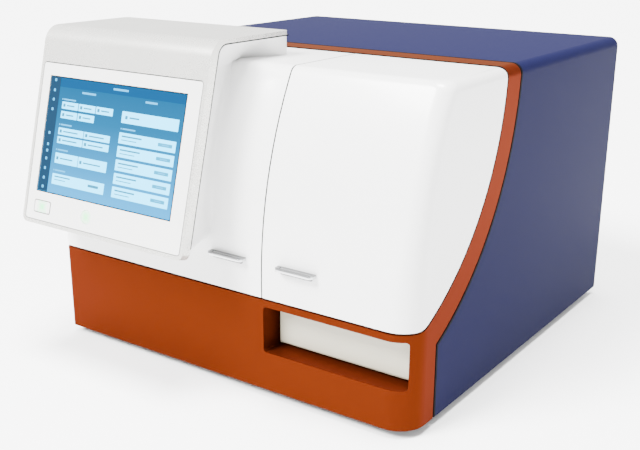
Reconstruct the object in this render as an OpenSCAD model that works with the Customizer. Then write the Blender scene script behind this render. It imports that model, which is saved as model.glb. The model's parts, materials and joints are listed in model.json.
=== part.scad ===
// Bench-top microplate reader with two lift-up doors, a tilted touch display and a plate drawer.
// Origin: middle of the footprint on the bench, +Z up, the user stands on the -Y side.

/* [Case] */
// Width over the side walls
body_w = 532; // [500:2:560]
// Depth from the base front to the rear edge of the cover
body_d = 560; // [540:2:600]
// Height of the shell above the underside of the base
body_h = 374; // [366:1:384]
// Height of the rubber feet
foot_h = 10; // [8:1:16]
// Diameter of the rubber feet
foot_d = 34; // [24:1:44]
// Height of the base front below the doors
base_h = 113; // [111:1:118]
// Wall of the moulded parts
wall = 3; // [2.5:0.1:3.4]
// Wall of the sheet metal parts
sheet = 2; // [1.5:0.1:2.2]
// Plan radius of the right front corner of the base
front_corner_r = 33; // [28:1:40]
// Plan radius of the left front corner, under the display
left_corner_r = 6; // [5:0.5:12]
// Plan radius of the right front corner high on the doors
upper_corner_r = 20; // [14:1:26]
// Radius along the top side edges
top_side_r = 13; // [8:0.5:16]
// Height of the upright stretch of the front, where the backward curve starts
upright_h = 135; // [125:1:145]
// Radius of the backward curve of the front
front_curve_r = 490; // [440:5:560]
// Radius between the front and the top
top_front_r = 12; // [8:0.5:15]

/* [Hoop] */
// Distance of the hoop centre in front of the base front
hoop_setback = 94; // [84:1:104]
// Height of the hoop centre above the underside of the base
hoop_centre_h = 381; // [376:1:388]
// Radius of the door opening
door_opening_r = 292; // [284:1:298]
// Radius of the front edge of the rear cover
cover_edge_r = 328; // [322:1:334]
// Distance of the upright stretch of the cover edge behind the base front
cover_foot_y = 55; // [53:0.5:58]
// Gap between hoop and rear cover
cover_gap = 2.75; // [1.5:0.25:4]
// Depth of the inward flange of the hoop
hoop_flange = 14; // [10:1:18]
// Radius where the lower door edge meets the hoop
door_foot_r = 30; // [20:1:40]

/* [Doors] */
// Place of the seam between the doors, right of the middle
seam_x = 66.3; // [60:0.5:70]
// Gap between the two doors
seam_gap = 0.9; // [0.6:0.1:2]
// Gap between the doors and the frame
door_gap = 2.5; // [2:0.1:3.2]
// Depth of the stiffening rib behind a door edge
door_rib = 10; // [6:1:14]
// Radius of the rolled rear edge of the doors, centred on the hinge
door_roll_r = 7.5; // [7:0.1:8]
// Radius of the hinge rod
hinge_rod_r = 2; // [1.8:0.05:2.2]
// Radius of the hinge knuckles
knuckle_r = 4; // [3.6:0.1:4.2]
// Radial clearance of pins and shafts
pin_fit = 0.05; // [0.02:0.01:0.08]
// Clearance between parts that touch in use
seat_gap = 0.3; // [0.2:0.05:0.5]

/* [Door handles] */
// Length of a handle
handle_l = 52; // [44:1:58]
// Reach of a handle in front of the door
handle_reach = 10; // [7:0.5:12]
// Thickness of a handle
handle_t = 4; // [3:0.25:5]
// Height of the top of the handles above the underside of the base
handle_h = 160; // [150:1:170]
// Left end of the left handle
left_handle_x = -8; // [-12:1:0]
// Left end of the right handle
right_handle_x = 91; // [80:1:105]

/* [Display] */
// Width of the display
display_w = 272.5; // [266:0.5:280]
// Tilt of the display away from upright
display_tilt = 15.2; // [13.6:0.1:16.4]
// Reach of the display's lower edge in front of the base
display_reach = 67; // [63:0.5:71]
// Height of the display's lower edge above the underside of the base
display_bottom_h = 166; // [160:1:170]
// Height of the display's top above the shell
display_rise = 29; // [26:0.5:32]
// Distance of the display's rear edge behind the base front
display_back_y = 134; // [126:1:142]
// Depth of the display housing at its front
housing_front_t = 12; // [10:0.5:14]
// Thickness of the display housing on top
housing_top_t = 5.5; // [4:0.25:7]
// Radius where the display rolls over to its top
display_roll_r = 24; // [18:1:28]
// Corner radius of the display
display_corner_r = 9; // [5:0.5:12]
// Border of the housing round the front panel
panel_border = 5; // [4:0.5:7]
// Height of the front panel
panel_h = 196; // [192:1:198]
// Thickness of the front panel
panel_t = 2.5; // [2:0.25:3]
// Width of the visible screen
screen_w = 226; // [216:1:232]
// Height of the visible screen
screen_h = 142.5; // [136:0.5:146]
// Height of the screen's lower edge above the display's lower edge
screen_v = 42; // [38:1:46]
// Width of the power button
button_w = 27.5; // [24:0.5:30]
// Height of the power button
button_h = 14; // [12:0.5:15]
// Travel of the power button
button_travel = 1.5; // [1:0.1:1.8]
// Diameter of the status light
status_d = 17; // [12:0.5:20]
// Inward lean of the boss side between the display and the door
boss_lean = 28; // [16:1:32]
// Reach of the soft transition from the boss side to the door
boss_fillet_r = 12; // [6:0.5:14]

/* [Plate drawer] */
// Distance of the drawer's middle from the right side
drawer_in = 103.5; // [102:0.5:106]
// Width of the drawer recess
recess_w = 189; // [186:1:190]
// Height of the drawer recess
recess_h = 57; // [54:1:58]
// Height of the recess floor above the underside of the base
recess_z = 48; // [47:0.5:49]
// Depth of the recess in front of the drawer
recess_d = 25; // [20:1:28]
// Corner radius of the recess
recess_r = 4; // [3:0.5:6]
// Gap round the drawer front
drawer_gap = 2.5; // [2:0.1:3]
// Thickness of the drawer front
drawer_t = 12; // [10:0.5:14]
// Radius of the rounded front edges of the drawer
drawer_edge_r = 6; // [4:0.5:8]
// Travel of the drawer
drawer_travel = 140; // [136:1:142]
// Length of a microplate
plate_l = 127.76; // [127.5:0.02:128]
// Width of a microplate
plate_w = 85.48; // [85.2:0.02:85.8]
// Play of a microplate in its nest
plate_play = 0.7; // [0.4:0.1:1]
// Depth of the nest
nest_depth = 5; // [4:0.5:6]
// Width of the plate carriage
carriage_w = 150; // [148:1:152]
// Thickness of the plate carriage
carriage_t = 4; // [3:0.25:5]
// Pitch radius of the belt pulleys
pulley_r = 10; // [8:0.5:11]
// Diameter of the pulley shafts
shaft_d = 5; // [4:0.5:6]

/* [Rear] */
// Depth of the rear panel inside the rear edge
rear_recess = 7; // [5:0.5:10]
// Width of the fan
fan_w = 80; // [78:1:84]
// Depth of the fan
fan_d = 25; // [20:1:28]
// Number of fan blades
fan_blades = 7; // [5:1:9]
// Angle of the rear power switch between its two positions
switch_angle = 20; // [16:1:24]

/* [Hidden] */

$fn = 64;
eps = 0.01;
half_w = body_w / 2;
drawer_x = half_w - drawer_in;
front_y = -(body_d - display_reach) / 2;
back_y = front_y + body_d;
base_z = foot_h;
top_z = base_z + body_h;
ledge_z = base_z + base_h;
door_z = ledge_z + door_gap;
upright_z = base_z + upright_h;
hoop_y = front_y - hoop_setback;
hoop_z = base_z + hoop_centre_h;
hoop_rear_r = cover_edge_r - cover_gap;
door_edge_r = door_opening_r - door_gap;
cover_y = front_y + cover_foot_y;
hinge_z = top_z - door_roll_r;
hinge_y = hoop_y + sqrt(pow(door_edge_r, 2) - pow(top_z - hoop_z, 2)) - door_roll_r;

// ---- helpers ----

// Draws a side view, given as (y, z), and stretches it along X.
module along_x(x0, x1) {
    translate([x0, 0, 0]) rotate([90, 0, 90]) linear_extrude(x1 - x0) children();
}

// Draws a front view, given as (x, z), and stretches it along Y.
module along_y(y0, y1) {
    translate([0, y1, 0]) rotate([90, 0, 0]) linear_extrude(y1 - y0) children();
}

// Box between two corners.
module block(lo, hi) {
    translate(lo) cube([hi[0] - lo[0], hi[1] - lo[1], hi[2] - lo[2]]);
}

// Flat rectangle between two corners.
module plane(lo, hi) {
    translate(lo) square([hi[0] - lo[0], hi[1] - lo[1]]);
}

// Rounded rectangle between two corners.
module round_plane(lo, hi, r) {
    w = hi[0] - lo[0];
    h = hi[1] - lo[1];
    translate([lo[0] + r, lo[1]]) square([w - 2 * r, h]);
    translate([lo[0], lo[1] + r]) square([w, h - 2 * r]);
    for (x = [lo[0] + r, hi[0] - r], y = [lo[1] + r, hi[1] - r]) translate([x, y]) circle(r);
}

// Upright rod.
module rod(x, y, z0, z1, r) {
    translate([x, y, z0]) cylinder(h = z1 - z0, r = r);
}

// Solid through a list of rings that have the same number of points.
module loft(rings) {
    n = len(rings[0]);
    m = len(rings);
    points = [for (ring = rings) for (p = ring) p];
    sides = [for (k = [0:m - 2]) for (i = [0:n - 1])
        let (j = (i + 1) % n, a = k * n + i, b = k * n + j, c = a + n, d = b + n)
        each [[a, c, b], [b, c, d]]];
    half = n / 2;
    first = [for (i = [0:half - 2]) each [[i, i + 1, n - 1 - i], [i + 1, n - 2 - i, n - 1 - i]]];
    t = (m - 1) * n;
    last = [for (i = [0:half - 2])
        each [[t + i, t + n - 1 - i, t + i + 1], [t + i + 1, t + n - 1 - i, t + n - 2 - i]]];
    polyhedron(points = points, faces = concat(sides, first, last), convexity = 8);
}

// ---- outer form of the doors ----

// Distance of the front face behind the base front at height z, for a form shrunk by d.
function face_y(z, d) =
    let (big = front_curve_r - d, r = max(top_front_r - d, 1), cz = top_z - d - r,
        cy = front_curve_r - sqrt(pow(big - r, 2) - pow(cz - upright_z, 2)),
        tz = cz + r * (cz - upright_z) / (big - r))
    z <= upright_z ? d
        : z <= tz ? front_curve_r - sqrt(pow(big, 2) - pow(z - upright_z, 2))
        : cy - sqrt(max(0, pow(r, 2) - pow(z - cz, 2)));

// Half width at height z, for a form shrunk by d.
function half_x(z, d) =
    let (r = max(top_side_r - d, 1), over = z - (top_z - d - r))
    half_w - d - (over > 0 ? r - sqrt(max(0, r * r - over * over)) : 0);

// Plan radius of the right front corner at height z, for a form shrunk by d.
function corner_r(z, d) =
    let (t = min(1, max(0, (z - ledge_z) / (2 * upper_corner_r + 80))))
    max(front_corner_r + (upper_corner_r - front_corner_r) * t - d, 2);

// Quarter round of radius r from side * x at depth y, listed from the side to the front.
function corner_arc(side, x, y, r, z) =
    [for (i = [0:8]) let (a = 90 * i / 8) [side * (x - r + r * cos(a)), y + r - r * sin(a), z]];

// Plan ring at height z: left rear, round the front, right rear, as matching left and right halves.
function plan_ring(z, d, rear_y) =
    let (w = half_x(z, d), y = front_y + face_y(z, d), right = corner_arc(1, w, y, corner_r(z, d), z))
    concat([[-w, rear_y, z]], corner_arc(-1, w, y, max(left_corner_r - d, 1), z),
        [for (i = [8:-1:0]) right[i]], [[w, rear_y, z]]);

// Heights of the rings: even along the curve, closer where the top rounds over.
function ring_levels(d) =
    let (r = max(top_side_r, top_front_r) - d, start = top_z - d - max(r, 1.5), steps = 12)
    concat([door_z - 2 * door_gap, ledge_z + upper_corner_r],
        [for (i = [1:steps]) let (z = upright_z + (start - upright_z) * i / steps) z],
        [for (i = [1:6]) top_z - d - max(r, 1.5) * (1 - sin(15 * i))]);

// The closed outer form, shrunk by d.
module envelope(d) {
    loft([for (z = ring_levels(d)) plan_ring(z, d, hoop_y + cover_edge_r)]);
}

// Side view of what the doors cover, with a gap g to the frame.
module door_side(g) {
    r = door_opening_r - g;
    z0 = ledge_z + g;
    blend_y = hoop_y + sqrt(pow(r - door_foot_r, 2) - pow(hoop_z - z0 - door_foot_r, 2));
    blend_z = z0 + door_foot_r;
    tangent = [hoop_y + (blend_y - hoop_y) * r / (r - door_foot_r),
        hoop_z - (hoop_z - blend_z) * r / (r - door_foot_r)];
    difference() {
        intersection() {
            translate([hoop_y, hoop_z]) circle(r, $fn = 256);
            plane([front_y - 1, z0], [hoop_y + cover_edge_r, top_z + 1]);
        }
        difference() {
            polygon([[blend_y, z0 - 1], [tangent[0] + 8, z0 - 1], [tangent[0] + 8, tangent[1] - 1],
                tangent, [blend_y, blend_z]]);
            translate([blend_y, blend_z]) circle(door_foot_r, $fn = 128);
        }
    }
}

// Side view of one door: its rear edge rolls round the hinge.
module door_profile() {
    difference() {
        door_side(door_gap);
        difference() {
            plane([hinge_y, hinge_z], [hoop_y + cover_edge_r, top_z + 2]);
            translate([hinge_y, hinge_z]) circle(door_roll_r);
        }
    }
}

// Moulded skin of a door between two places on X; rib_left and rib_right say which edges have a rib.
module door_skin(x0, x1, rib_left, rib_right) {
    inner_x0 = rib_left ? x0 + wall : -body_w;
    inner_x1 = rib_right ? x1 - wall : body_w;
    difference() {
        intersection() {
            along_x(x0, x1) door_profile();
            envelope(0);
        }
        intersection() {
            envelope(wall);
            block([inner_x0, front_y - 1, door_z + wall], [inner_x1, back_y, top_z]);
        }
        envelope(wall + door_rib);
    }
}

// ---- display geometry ----

display_x0 = -half_w;
display_x1 = display_x0 + display_w;
display_y = front_y - display_reach;
display_z = base_z + display_bottom_h;
display_top = top_z + display_rise;
display_back = front_y + display_back_y;
panel_x0 = display_x0 + panel_border;
panel_x1 = display_x1 - panel_border;
panel_v0 = panel_border;
panel_v1 = panel_v0 + panel_h;
screen_x0 = display_x0 + (display_w - screen_w) / 2 - 3;
button_x0 = screen_x0;
button_v0 = 15.5;
status_x = screen_x0 + 92;
status_v = 23;
boss_x1 = display_x1 - 0.5;
boss_bottom_z = display_z + 3;
boss_corner_r = display_corner_r + 3;
boss_rear_r = 5;
// Length of the display's front line from its lower edge to the corner above the roll
front_line = (display_top - display_z) / cos(display_tilt);

// Puts children on the display's front plane: x as is, y into the display, z up along the plane.
module on_display() {
    translate([0, display_y, display_z]) rotate([-display_tilt, 0, 0]) children();
}

// Distance of the display's rear skin behind the front line at height z, measured along Y.
function display_line_y(z, d) =
    display_y + (z - display_z) * tan(display_tilt) + d / cos(display_tilt);

// Side view of the display, shrunk by d at the front and by e on top, closed at the back by y1.
module display_side(d, e, y1, z0) {
    z1 = display_top - e;
    r = display_roll_r - (d + e) / 2;
    corner = [display_line_y(z1, d), z1];
    t = r * tan((90 - display_tilt) / 2);
    on_top = [corner[0] + t, z1];
    on_front = [corner[0] - t * sin(display_tilt), z1 - t * cos(display_tilt)];
    difference() {
        polygon([[display_line_y(z0, d), z0], corner, [y1, z1], [y1, z0]]);
        difference() {
            polygon([on_front, corner, on_top, [on_top[0], z1 - r]]);
            translate([on_top[0], z1 - r]) circle(r, $fn = 96);
        }
    }
}

// ---- display boss of the left door ----

boss_top_z = display_top - housing_top_t - seat_gap;
// Shares of the way from the door face to the display, closer together at the soft transition
boss_steps = [0.012, 0.04, 0.08, 0.13, 0.19, 0.27, 0.36, 0.46, 0.6, 0.8, 1];

// Front of the boss at height z, behind the display and its upper roll, for a boss shrunk by d.
function boss_front_y(z, d) =
    let (f = housing_front_t + seat_gap - 2 * d, z1 = boss_top_z - d, r = display_roll_r - (f + display_top - z1) / 2,
        t = r * tan((90 - display_tilt) / 2), y = display_line_y(z1, f) + t)
    z < z1 - t * cos(display_tilt) ? display_line_y(z, f) : y - sqrt(max(0, r * r - pow(z - z1 + r, 2)));

// Right edge of the boss as [offset on X, height]: round lower corner, door face, roll, display top.
function boss_edge(d) =
    let (r = boss_corner_r - d, z0 = boss_bottom_z + d, roll_z = top_z - top_front_r, z1 = boss_top_z - d)
    concat([for (a = [0:22.5:90]) [r * sin(a) - r, z0 + r - r * cos(a)]],
        [for (i = [1:9]) [0, z0 + r + (roll_z - z0 - r) * i / 9]],
        [for (a = [20:20:60]) [0, roll_z + top_front_r * sin(a)]],
        [for (z = [top_z - 1.05, top_z - 1]) [0, z]],
        [for (i = [1:7]) [0, top_z - 1 + (z1 - top_z + 1) * sin(90 * i / 7)]]);

// Lean of the boss side at height z and share t: full at the door, gone at the display and its top.
function boss_inset(z, t) =
    z < top_z - 1.02 ? boss_lean * (0.7 + 0.3 * (z - boss_bottom_z) / (top_z - boss_bottom_z)) * (1 - t)
        : boss_lean * (boss_top_z - z) / (boss_top_z - top_z + 1)
            * (t < 0.45 ? pow(t / 0.45, 2) * (3 - t / 0.225) : (1 - t) / 0.55);

// Soft widening at the foot of the boss side; it fades out towards the lower corner and the top.
function boss_foot(z, t) =
    let (reach = 0.27, fade = min(1, max(0.15, (z - boss_bottom_z) / 40), max(0, (top_z - 1.02 - z) / 40)))
    t < reach && z < top_z - 1.02 ? boss_fillet_r * fade * (1 - sqrt(1 - pow(1 - t / reach, 2))) : 0;

// Rounding of the upright rear edges above the door at distance h from the back.
function boss_round(z, h) =
    z < top_z - 1.02 || h >= boss_rear_r ? 0 : boss_rear_r - sqrt(pow(boss_rear_r, 2) - pow(boss_rear_r - h, 2));

// Ring of the boss at share t, shrunk by d: up the right side, down the left side.
// Below the door's top it starts at depth back in the door, on the left left_back deeper.
function boss_ring(t, d, back, left_back) =
    let (edge = boss_edge(d), n = len(edge), rows = [for (p = edge)
        let (z = p[1], low = z < top_z - 1.02, rear = low ? front_y + face_y(z, 0) : display_back - d,
            front = boss_front_y(z, d))
        [rear + t * (front - rear) + (low ? back : 0), boss_round(z, t * (rear - front)), low]])
    concat([for (i = [0:n - 1]) let (z = edge[i][1], foot = d > 0 ? 0 : boss_foot(z, t))
            [boss_x1 - d + edge[i][0] - boss_inset(z, t) + foot - rows[i][1], rows[i][0], z]],
        [for (i = [n - 1:-1:0])
            [display_x0 + d + rows[i][1], rows[i][0] + (rows[i][2] ? left_back : 0), edge[i][1]]]);

module boss_body() {
    loft(concat([boss_ring(0, 0, wall / 2, left_corner_r)], [for (t = boss_steps) boss_ring(t, 0, 0, 0)]));
}

module boss_hollow() {
    loft(concat([boss_ring(0, wall, 12 * wall, 0)], [for (t = boss_steps) if (t > 0.1) boss_ring(t, wall, 0, 0)]));
}

left_door_x0 = -half_w;
left_door_x1 = seam_x - seam_gap / 2;
right_door_x0 = seam_x + seam_gap / 2;
right_door_x1 = half_w;
front_handle_z = base_z + handle_h;
ear_w = 8;
ear_in = 22;
ear_places = [-half_w + ear_in, seam_x, half_w - ear_in];
bulk_y = front_y + 203;
seal_t = 2;
liner_half = half_w - wall - seal_t - 2 * seat_gap;
deck_top = ledge_z - 1;
deck_z = deck_top - sheet;
deck_y0 = hoop_y + sqrt(pow(door_opening_r + wall, 2) - pow(hoop_z - deck_top, 2)) + seat_gap;
panel_back_y = back_y - rear_recess;
panel_front_y = panel_back_y - sheet;
foot_x = half_w - 52;
foot_front_y = front_y + 62;
foot_back_y = back_y - 48;

// ---- case ----

// Plan of the case with round front corners, shrunk by d, back to y1.
module case_plan(d, y1) {
    x = half_w - d;
    left_r = left_corner_r - d;
    right_r = front_corner_r - d;
    plane([-x, front_y + d + left_r], [0, y1]);
    plane([-eps, front_y + d + right_r], [x, y1]);
    plane([-x + left_r, front_y + d], [x - right_r, y1]);
    translate([-x + left_r, front_y + d + left_r]) circle(left_r);
    translate([x - right_r, front_y + d + right_r]) circle(right_r);
}

// Front view of the case with round top side edges, shrunk by d, from z0 up.
module case_front(d, z0) {
    x = half_w - d;
    r = top_side_r - d;
    plane([-x, z0], [x, top_z - d - r]);
    plane([-x + r, z0], [x - r, top_z - d]);
    for (side = [-1, 1]) translate([side * (x - r), top_z - d - r]) circle(r);
}

hoop_foot_y = cover_y - cover_gap;
hoop_kink_z = hoop_z - sqrt(pow(hoop_rear_r, 2) - pow(hoop_foot_y - hoop_y, 2));
recess_x0 = drawer_x - recess_w / 2;
recess_x1 = drawer_x + recess_w / 2;
recess_z0 = base_z + recess_z;
recess_z1 = recess_z0 + recess_h;
recess_back_y = front_y + recess_d + drawer_t + 3;

module bezel_side() {
    difference() {
        union() {
            plane([front_y, base_z], [hoop_foot_y, ledge_z]);
            intersection() {
                translate([hoop_y, hoop_z]) circle(hoop_rear_r, $fn = 256);
                plane([front_y, hoop_kink_z], [hoop_y + cover_edge_r, top_z + 1]);
            }
        }
        door_side(0);
    }
}

module front_bezel() {
    recess_wall = 2.5;
    color([0.68, 0.26, 0.09]) difference() {
        intersection() {
            union() {
                difference() {
                    along_x(-half_w, half_w) bezel_side();
                    difference() {
                        intersection() {
                            translate([0, 0, base_z - 1]) linear_extrude(body_h - wall + 1) case_plan(wall, back_y);
                            along_y(front_y - 1, back_y) case_front(wall, base_z - 1);
                        }
                        along_x(-half_w, half_w) intersection() {
                            translate([hoop_y, hoop_z]) circle(door_opening_r + wall, $fn = 256);
                            plane([front_y - 1, ledge_z - wall], [hoop_y + cover_edge_r, top_z]);
                        }
                    }
                    // the flange stays round the door opening, the middle is open
                    along_x(-half_w + hoop_flange, half_w - hoop_flange)
                        plane([deck_y0 - seat_gap, ledge_z - wall - 1],
                            [hoop_y + cover_edge_r, top_z - hoop_flange]);
                }
                along_y(front_y, recess_back_y) round_plane(
                    [recess_x0 - recess_wall, recess_z0 - recess_wall],
                    [recess_x1 + recess_wall, recess_z1 + recess_wall], recess_r + recess_wall);
            }
            translate([0, 0, base_z]) linear_extrude(body_h) case_plan(0, back_y);
            along_y(front_y - 1, back_y) case_front(0, base_z);
        }
        along_y(front_y - 1, recess_back_y + 1)
            round_plane([recess_x0, recess_z0], [recess_x1, recess_z1], recess_r);
    }
}

screw_r = 1.5;
screw_head_r = 3;
screw_head_h = 1.8;
panel_screws = [for (x = [-half_w + 9, -half_w / 3, half_w / 3, half_w - 9], z = [base_z + 9, top_z - 9])
    if (!(abs(x) > half_w / 2 && z > top_z - 10)) [x, z]];
side_screws = [for (x = [-half_w + 9, half_w - 9], z = [base_z + body_h / 2, top_z - 30]) [x, z]];
all_screws = concat(panel_screws, side_screws);

module rear_cover() {
    lip = 14;
    lip_y1 = panel_front_y - seat_gap;
    color([0.20, 0.23, 0.42]) difference() {
        union() {
            difference() {
                along_y(cover_y, back_y) case_front(0, base_z);
                along_y(cover_y - 1, back_y + 1) case_front(sheet, base_z - 1);
            }
            // lip that carries the rear panel
            difference() {
                along_y(lip_y1 - sheet, lip_y1) case_front(sheet / 2, base_z + sheet + seat_gap);
                along_y(lip_y1 - sheet - 1, lip_y1 + 1)
                    plane([-half_w + lip, base_z + lip], [half_w - lip, top_z - lip]);
            }
            for (side = [-1, 1]) mirror([side > 0 ? 1 : 0, 0, 0])
                block([-half_w, cover_y + 3, base_z + sheet + seat_gap],
                    [-half_w + lip, lip_y1, base_z + 2 * sheet + seat_gap]);
        }
        along_x(-half_w - 1, half_w + 1) translate([hoop_y, hoop_z]) circle(cover_edge_r, $fn = 256);
        for (p = all_screws) translate([p[0], back_y, p[1]]) rotate([90, 0, 0])
            cylinder(h = 3 * rear_recess, r = screw_r + 0.25);
    }
}

module base_plate() {
    slot_l = 44;
    color("dimgray") difference() {
        union() {
            translate([0, 0, base_z]) linear_extrude(sheet)
                case_plan(wall + seat_gap, panel_front_y - seat_gap);
            block([-half_w + front_corner_r + 6, front_y + wall + seat_gap, base_z],
                [half_w - front_corner_r - 6, front_y + wall + seat_gap + sheet, base_z + 20]);
        }
        for (x = [-half_w + 46:12:-half_w + 146], y = [front_y + 120, front_y + 190])
            block([x, y, base_z - 1], [x + 3, y + slot_l, base_z + sheet + 1]);
    }
}

fan_x = -half_w + 116;
fan_z = base_z + 250;
inlet_x = -half_w + 78;
inlet_z = base_z + 62;
inlet_w = 48;
inlet_h = 28;
switch_x = inlet_x + 52;
switch_w = 22;
switch_h = 30;
ports_x = 60;
ports_z = base_z + 66;
usb_w = 13.2;
usb_h = 5.8;
lan_w = 12;
lan_h = 9;
port_pitch = 24;
panel_fit = 0.25;

module rear_panel() {
    color("dimgray") difference() {
        along_y(panel_front_y, panel_back_y) case_front(sheet + seat_gap, base_z + sheet + seat_gap);
        translate([fan_x, back_y, fan_z]) rotate([90, 0, 0]) cylinder(h = 3 * rear_recess, d = fan_w - 4);
        for (sx = [-1, 1], sz = [-1, 1]) translate([fan_x + sx * (fan_w / 2 - 4.2), back_y, fan_z + sz * (fan_w / 2 - 4.2)])
            rotate([90, 0, 0]) cylinder(h = 3 * rear_recess, r = screw_r + 0.25);
        for (p = all_screws) translate([p[0], back_y, p[1]]) rotate([90, 0, 0])
            cylinder(h = 3 * rear_recess, r = screw_r + 0.25);
        along_y(panel_front_y - 1, panel_back_y + 1) {
            translate([inlet_x, inlet_z]) square([inlet_w - 4, inlet_h - 4], center = true);
            translate([switch_x, inlet_z]) square([switch_w - 2, switch_h - 2], center = true);
            translate([ports_x, ports_z]) square([lan_w + 4, lan_h + 4] + [2, 2] * panel_fit, center = true);
            for (k = [1, 2]) translate([ports_x + k * port_pitch, ports_z])
                square([usb_w + 1.2, usb_h + 1.2] + [2, 2] * panel_fit, center = true);
            // cooling slots
            for (k = [0:13], row = [0, 1])
                round_plane([60 + k * 11, base_z + 190 + row * 60], [63 + k * 11, base_z + 238 + row * 60], 1.4);
        }
    }
}

module front_bulkhead() {
    color("dimgray") difference() {
        union() {
            along_y(bulk_y, bulk_y + sheet) intersection() {
                case_front(wall + seat_gap, deck_top + seat_gap);
                plane([-liner_half, deck_top + seat_gap], [liner_half, top_z]);
            }
            block([-liner_half, bulk_y - 14, deck_top + seat_gap], [liner_half, bulk_y + eps, deck_top + seat_gap + sheet]);
        }
        along_y(bulk_y - 1, bulk_y + sheet + 1) {
            round_plane([drawer_x - 34, deck_top + 34], [drawer_x + 34, deck_top + 74], 4);
            round_plane([injector_xs[0] - 14, deck_top + 12], [injector_xs[1] + 14, deck_top + 24], 4);
        }
    }
}

module front_deck() {
    color([0.30, 0.31, 0.33]) difference() {
        block([-liner_half, deck_y0, deck_z], [liner_half, bulk_y + sheet, deck_top]);
        translate([drawer_x, optic_y, deck_z - 1]) cylinder(h = sheet + 2, r = optic_r);
        for (x = injector_xs) translate([x, injector_y - 26, deck_z - 1]) cylinder(h = sheet + 2, r = 2.5);
    }
}

module light_seal() {
    half_t = 7;
    color([0.06, 0.06, 0.07]) difference() {
        along_y(cover_y - cover_gap / 2 - half_t, hoop_y + cover_edge_r + half_t)
            case_front(wall + seat_gap, base_z + 2 * sheet + 2 * seat_gap);
        along_y(cover_y - cover_gap - half_t, hoop_y + cover_edge_r + half_t + 1)
            case_front(wall + seat_gap + seal_t, base_z);
        along_x(-half_w, half_w) {
            difference() {
                translate([hoop_y, hoop_z]) circle(hoop_rear_r + cover_gap / 2 - half_t, $fn = 256);
                plane([front_y, base_z], [cover_y - cover_gap / 2 - half_t, hoop_z]);
            }
            difference() {
                plane([cover_y - cover_gap / 2 + half_t, base_z], [back_y, top_z]);
                translate([hoop_y, hoop_z]) circle(hoop_rear_r + cover_gap / 2 + half_t, $fn = 256);
            }
        }
    }
}

module feet() {
    chamfer = 2;
    color([0.08, 0.08, 0.09]) for (x = [-foot_x, foot_x], y = [foot_front_y, foot_back_y]) {
        rod(x, y, chamfer, foot_h, foot_d / 2);
        translate([x, y, 0]) cylinder(h = chamfer, r1 = foot_d / 2 - chamfer, r2 = foot_d / 2);
    }
}

// Pan head screw along Y with its head at y; the shank runs inward.
module panel_screw(x, y, z, l) {
    translate([x, y + screw_head_h, z]) rotate([90, 0, 0]) difference() {
        union() {
            cylinder(h = screw_head_h, r = screw_head_r);
            cylinder(h = screw_head_h + l, r = screw_r);
        }
        translate([0, 0, -1]) cylinder(h = 1 + screw_head_h / 2, r = 1.4, $fn = 6);
    }
}

module cover_screws() {
    color("silver") for (p = all_screws) panel_screw(p[0], panel_back_y, p[1], 2 * sheet + 2);
}

module hinge_brackets() {
    foot_top = top_z - hoop_flange - 6;
    foot_low = foot_top - 14;
    color("gray") for (x = ear_places) {
        along_x(x - ear_w / 2, x + ear_w / 2) difference() {
            union() {
                translate([hinge_y, hinge_z]) circle(knuckle_r);
                plane([hinge_y - knuckle_r, foot_low], [hinge_y + knuckle_r, hinge_z]);
                plane([hinge_y, foot_low], [bulk_y - seat_gap, foot_top]);
            }
            translate([hinge_y, hinge_z]) circle(hinge_rod_r + pin_fit);
        }
        block([x - ear_w - 4, bulk_y - seat_gap - sheet, foot_low - 8], [x + ear_w + 4, bulk_y - seat_gap, foot_top]);
    }
}

module hinge_rod() {
    color("silver") translate([-half_w + ear_in - ear_w, hinge_y, hinge_z]) rotate([0, 90, 0])
        cylinder(h = body_w - 2 * ear_in + 2 * ear_w, r = hinge_rod_r);
}

magnet_xs = [-half_w + 60, seam_x - 30, seam_x + 30, half_w - 60];

module door_magnets() {
    color("silver") for (x = magnet_xs) rod(x, front_y + 9, ledge_z, ledge_z + door_gap - 0.5, 4);
}

// ---- doors ----

// Room round the hinge ear at the seam, cut from the ribs of both doors.
module ear_room() {
    block([seam_x - ear_w / 2 - 0.6, hinge_y - knuckle_r - 2, hinge_z - 3 * knuckle_r],
        [seam_x + ear_w / 2 + 0.6, hinge_y + 3 * knuckle_r, top_z - wall]);
}

module left_door() {
    color("whitesmoke") difference() {
        union() {
            door_skin(left_door_x0, left_door_x1, false, true);
            boss_body();
        }
        boss_hollow();
        ear_room();
    }
}

module right_door() {
    color("whitesmoke") difference() {
        door_skin(right_door_x0, right_door_x1, true, false);
        ear_room();
    }
}

// Leaf under the top of a door with its knuckle round the hinge rod.
module hinge_leaf(x0, x1) {
    leaf_l = 30;
    leaf_t = 1.5;
    leaf_top = top_z - wall - seat_gap;
    along_x(x0, x1) difference() {
        union() {
            plane([hinge_y - leaf_l, leaf_top - leaf_t], [hinge_y, leaf_top]);
            translate([hinge_y, hinge_z]) circle(knuckle_r);
        }
        translate([hinge_y, hinge_z]) circle(hinge_rod_r + pin_fit);
    }
}

module left_hinge_leaf() {
    color("silver") hinge_leaf(ear_places[0] + ear_w / 2 + 0.5, ear_places[1] - ear_w / 2 - 0.5);
}

module right_hinge_leaf() {
    color("silver") hinge_leaf(ear_places[1] + ear_w / 2 + 0.5, ear_places[2] - ear_w / 2 - 0.5);
}

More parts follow.
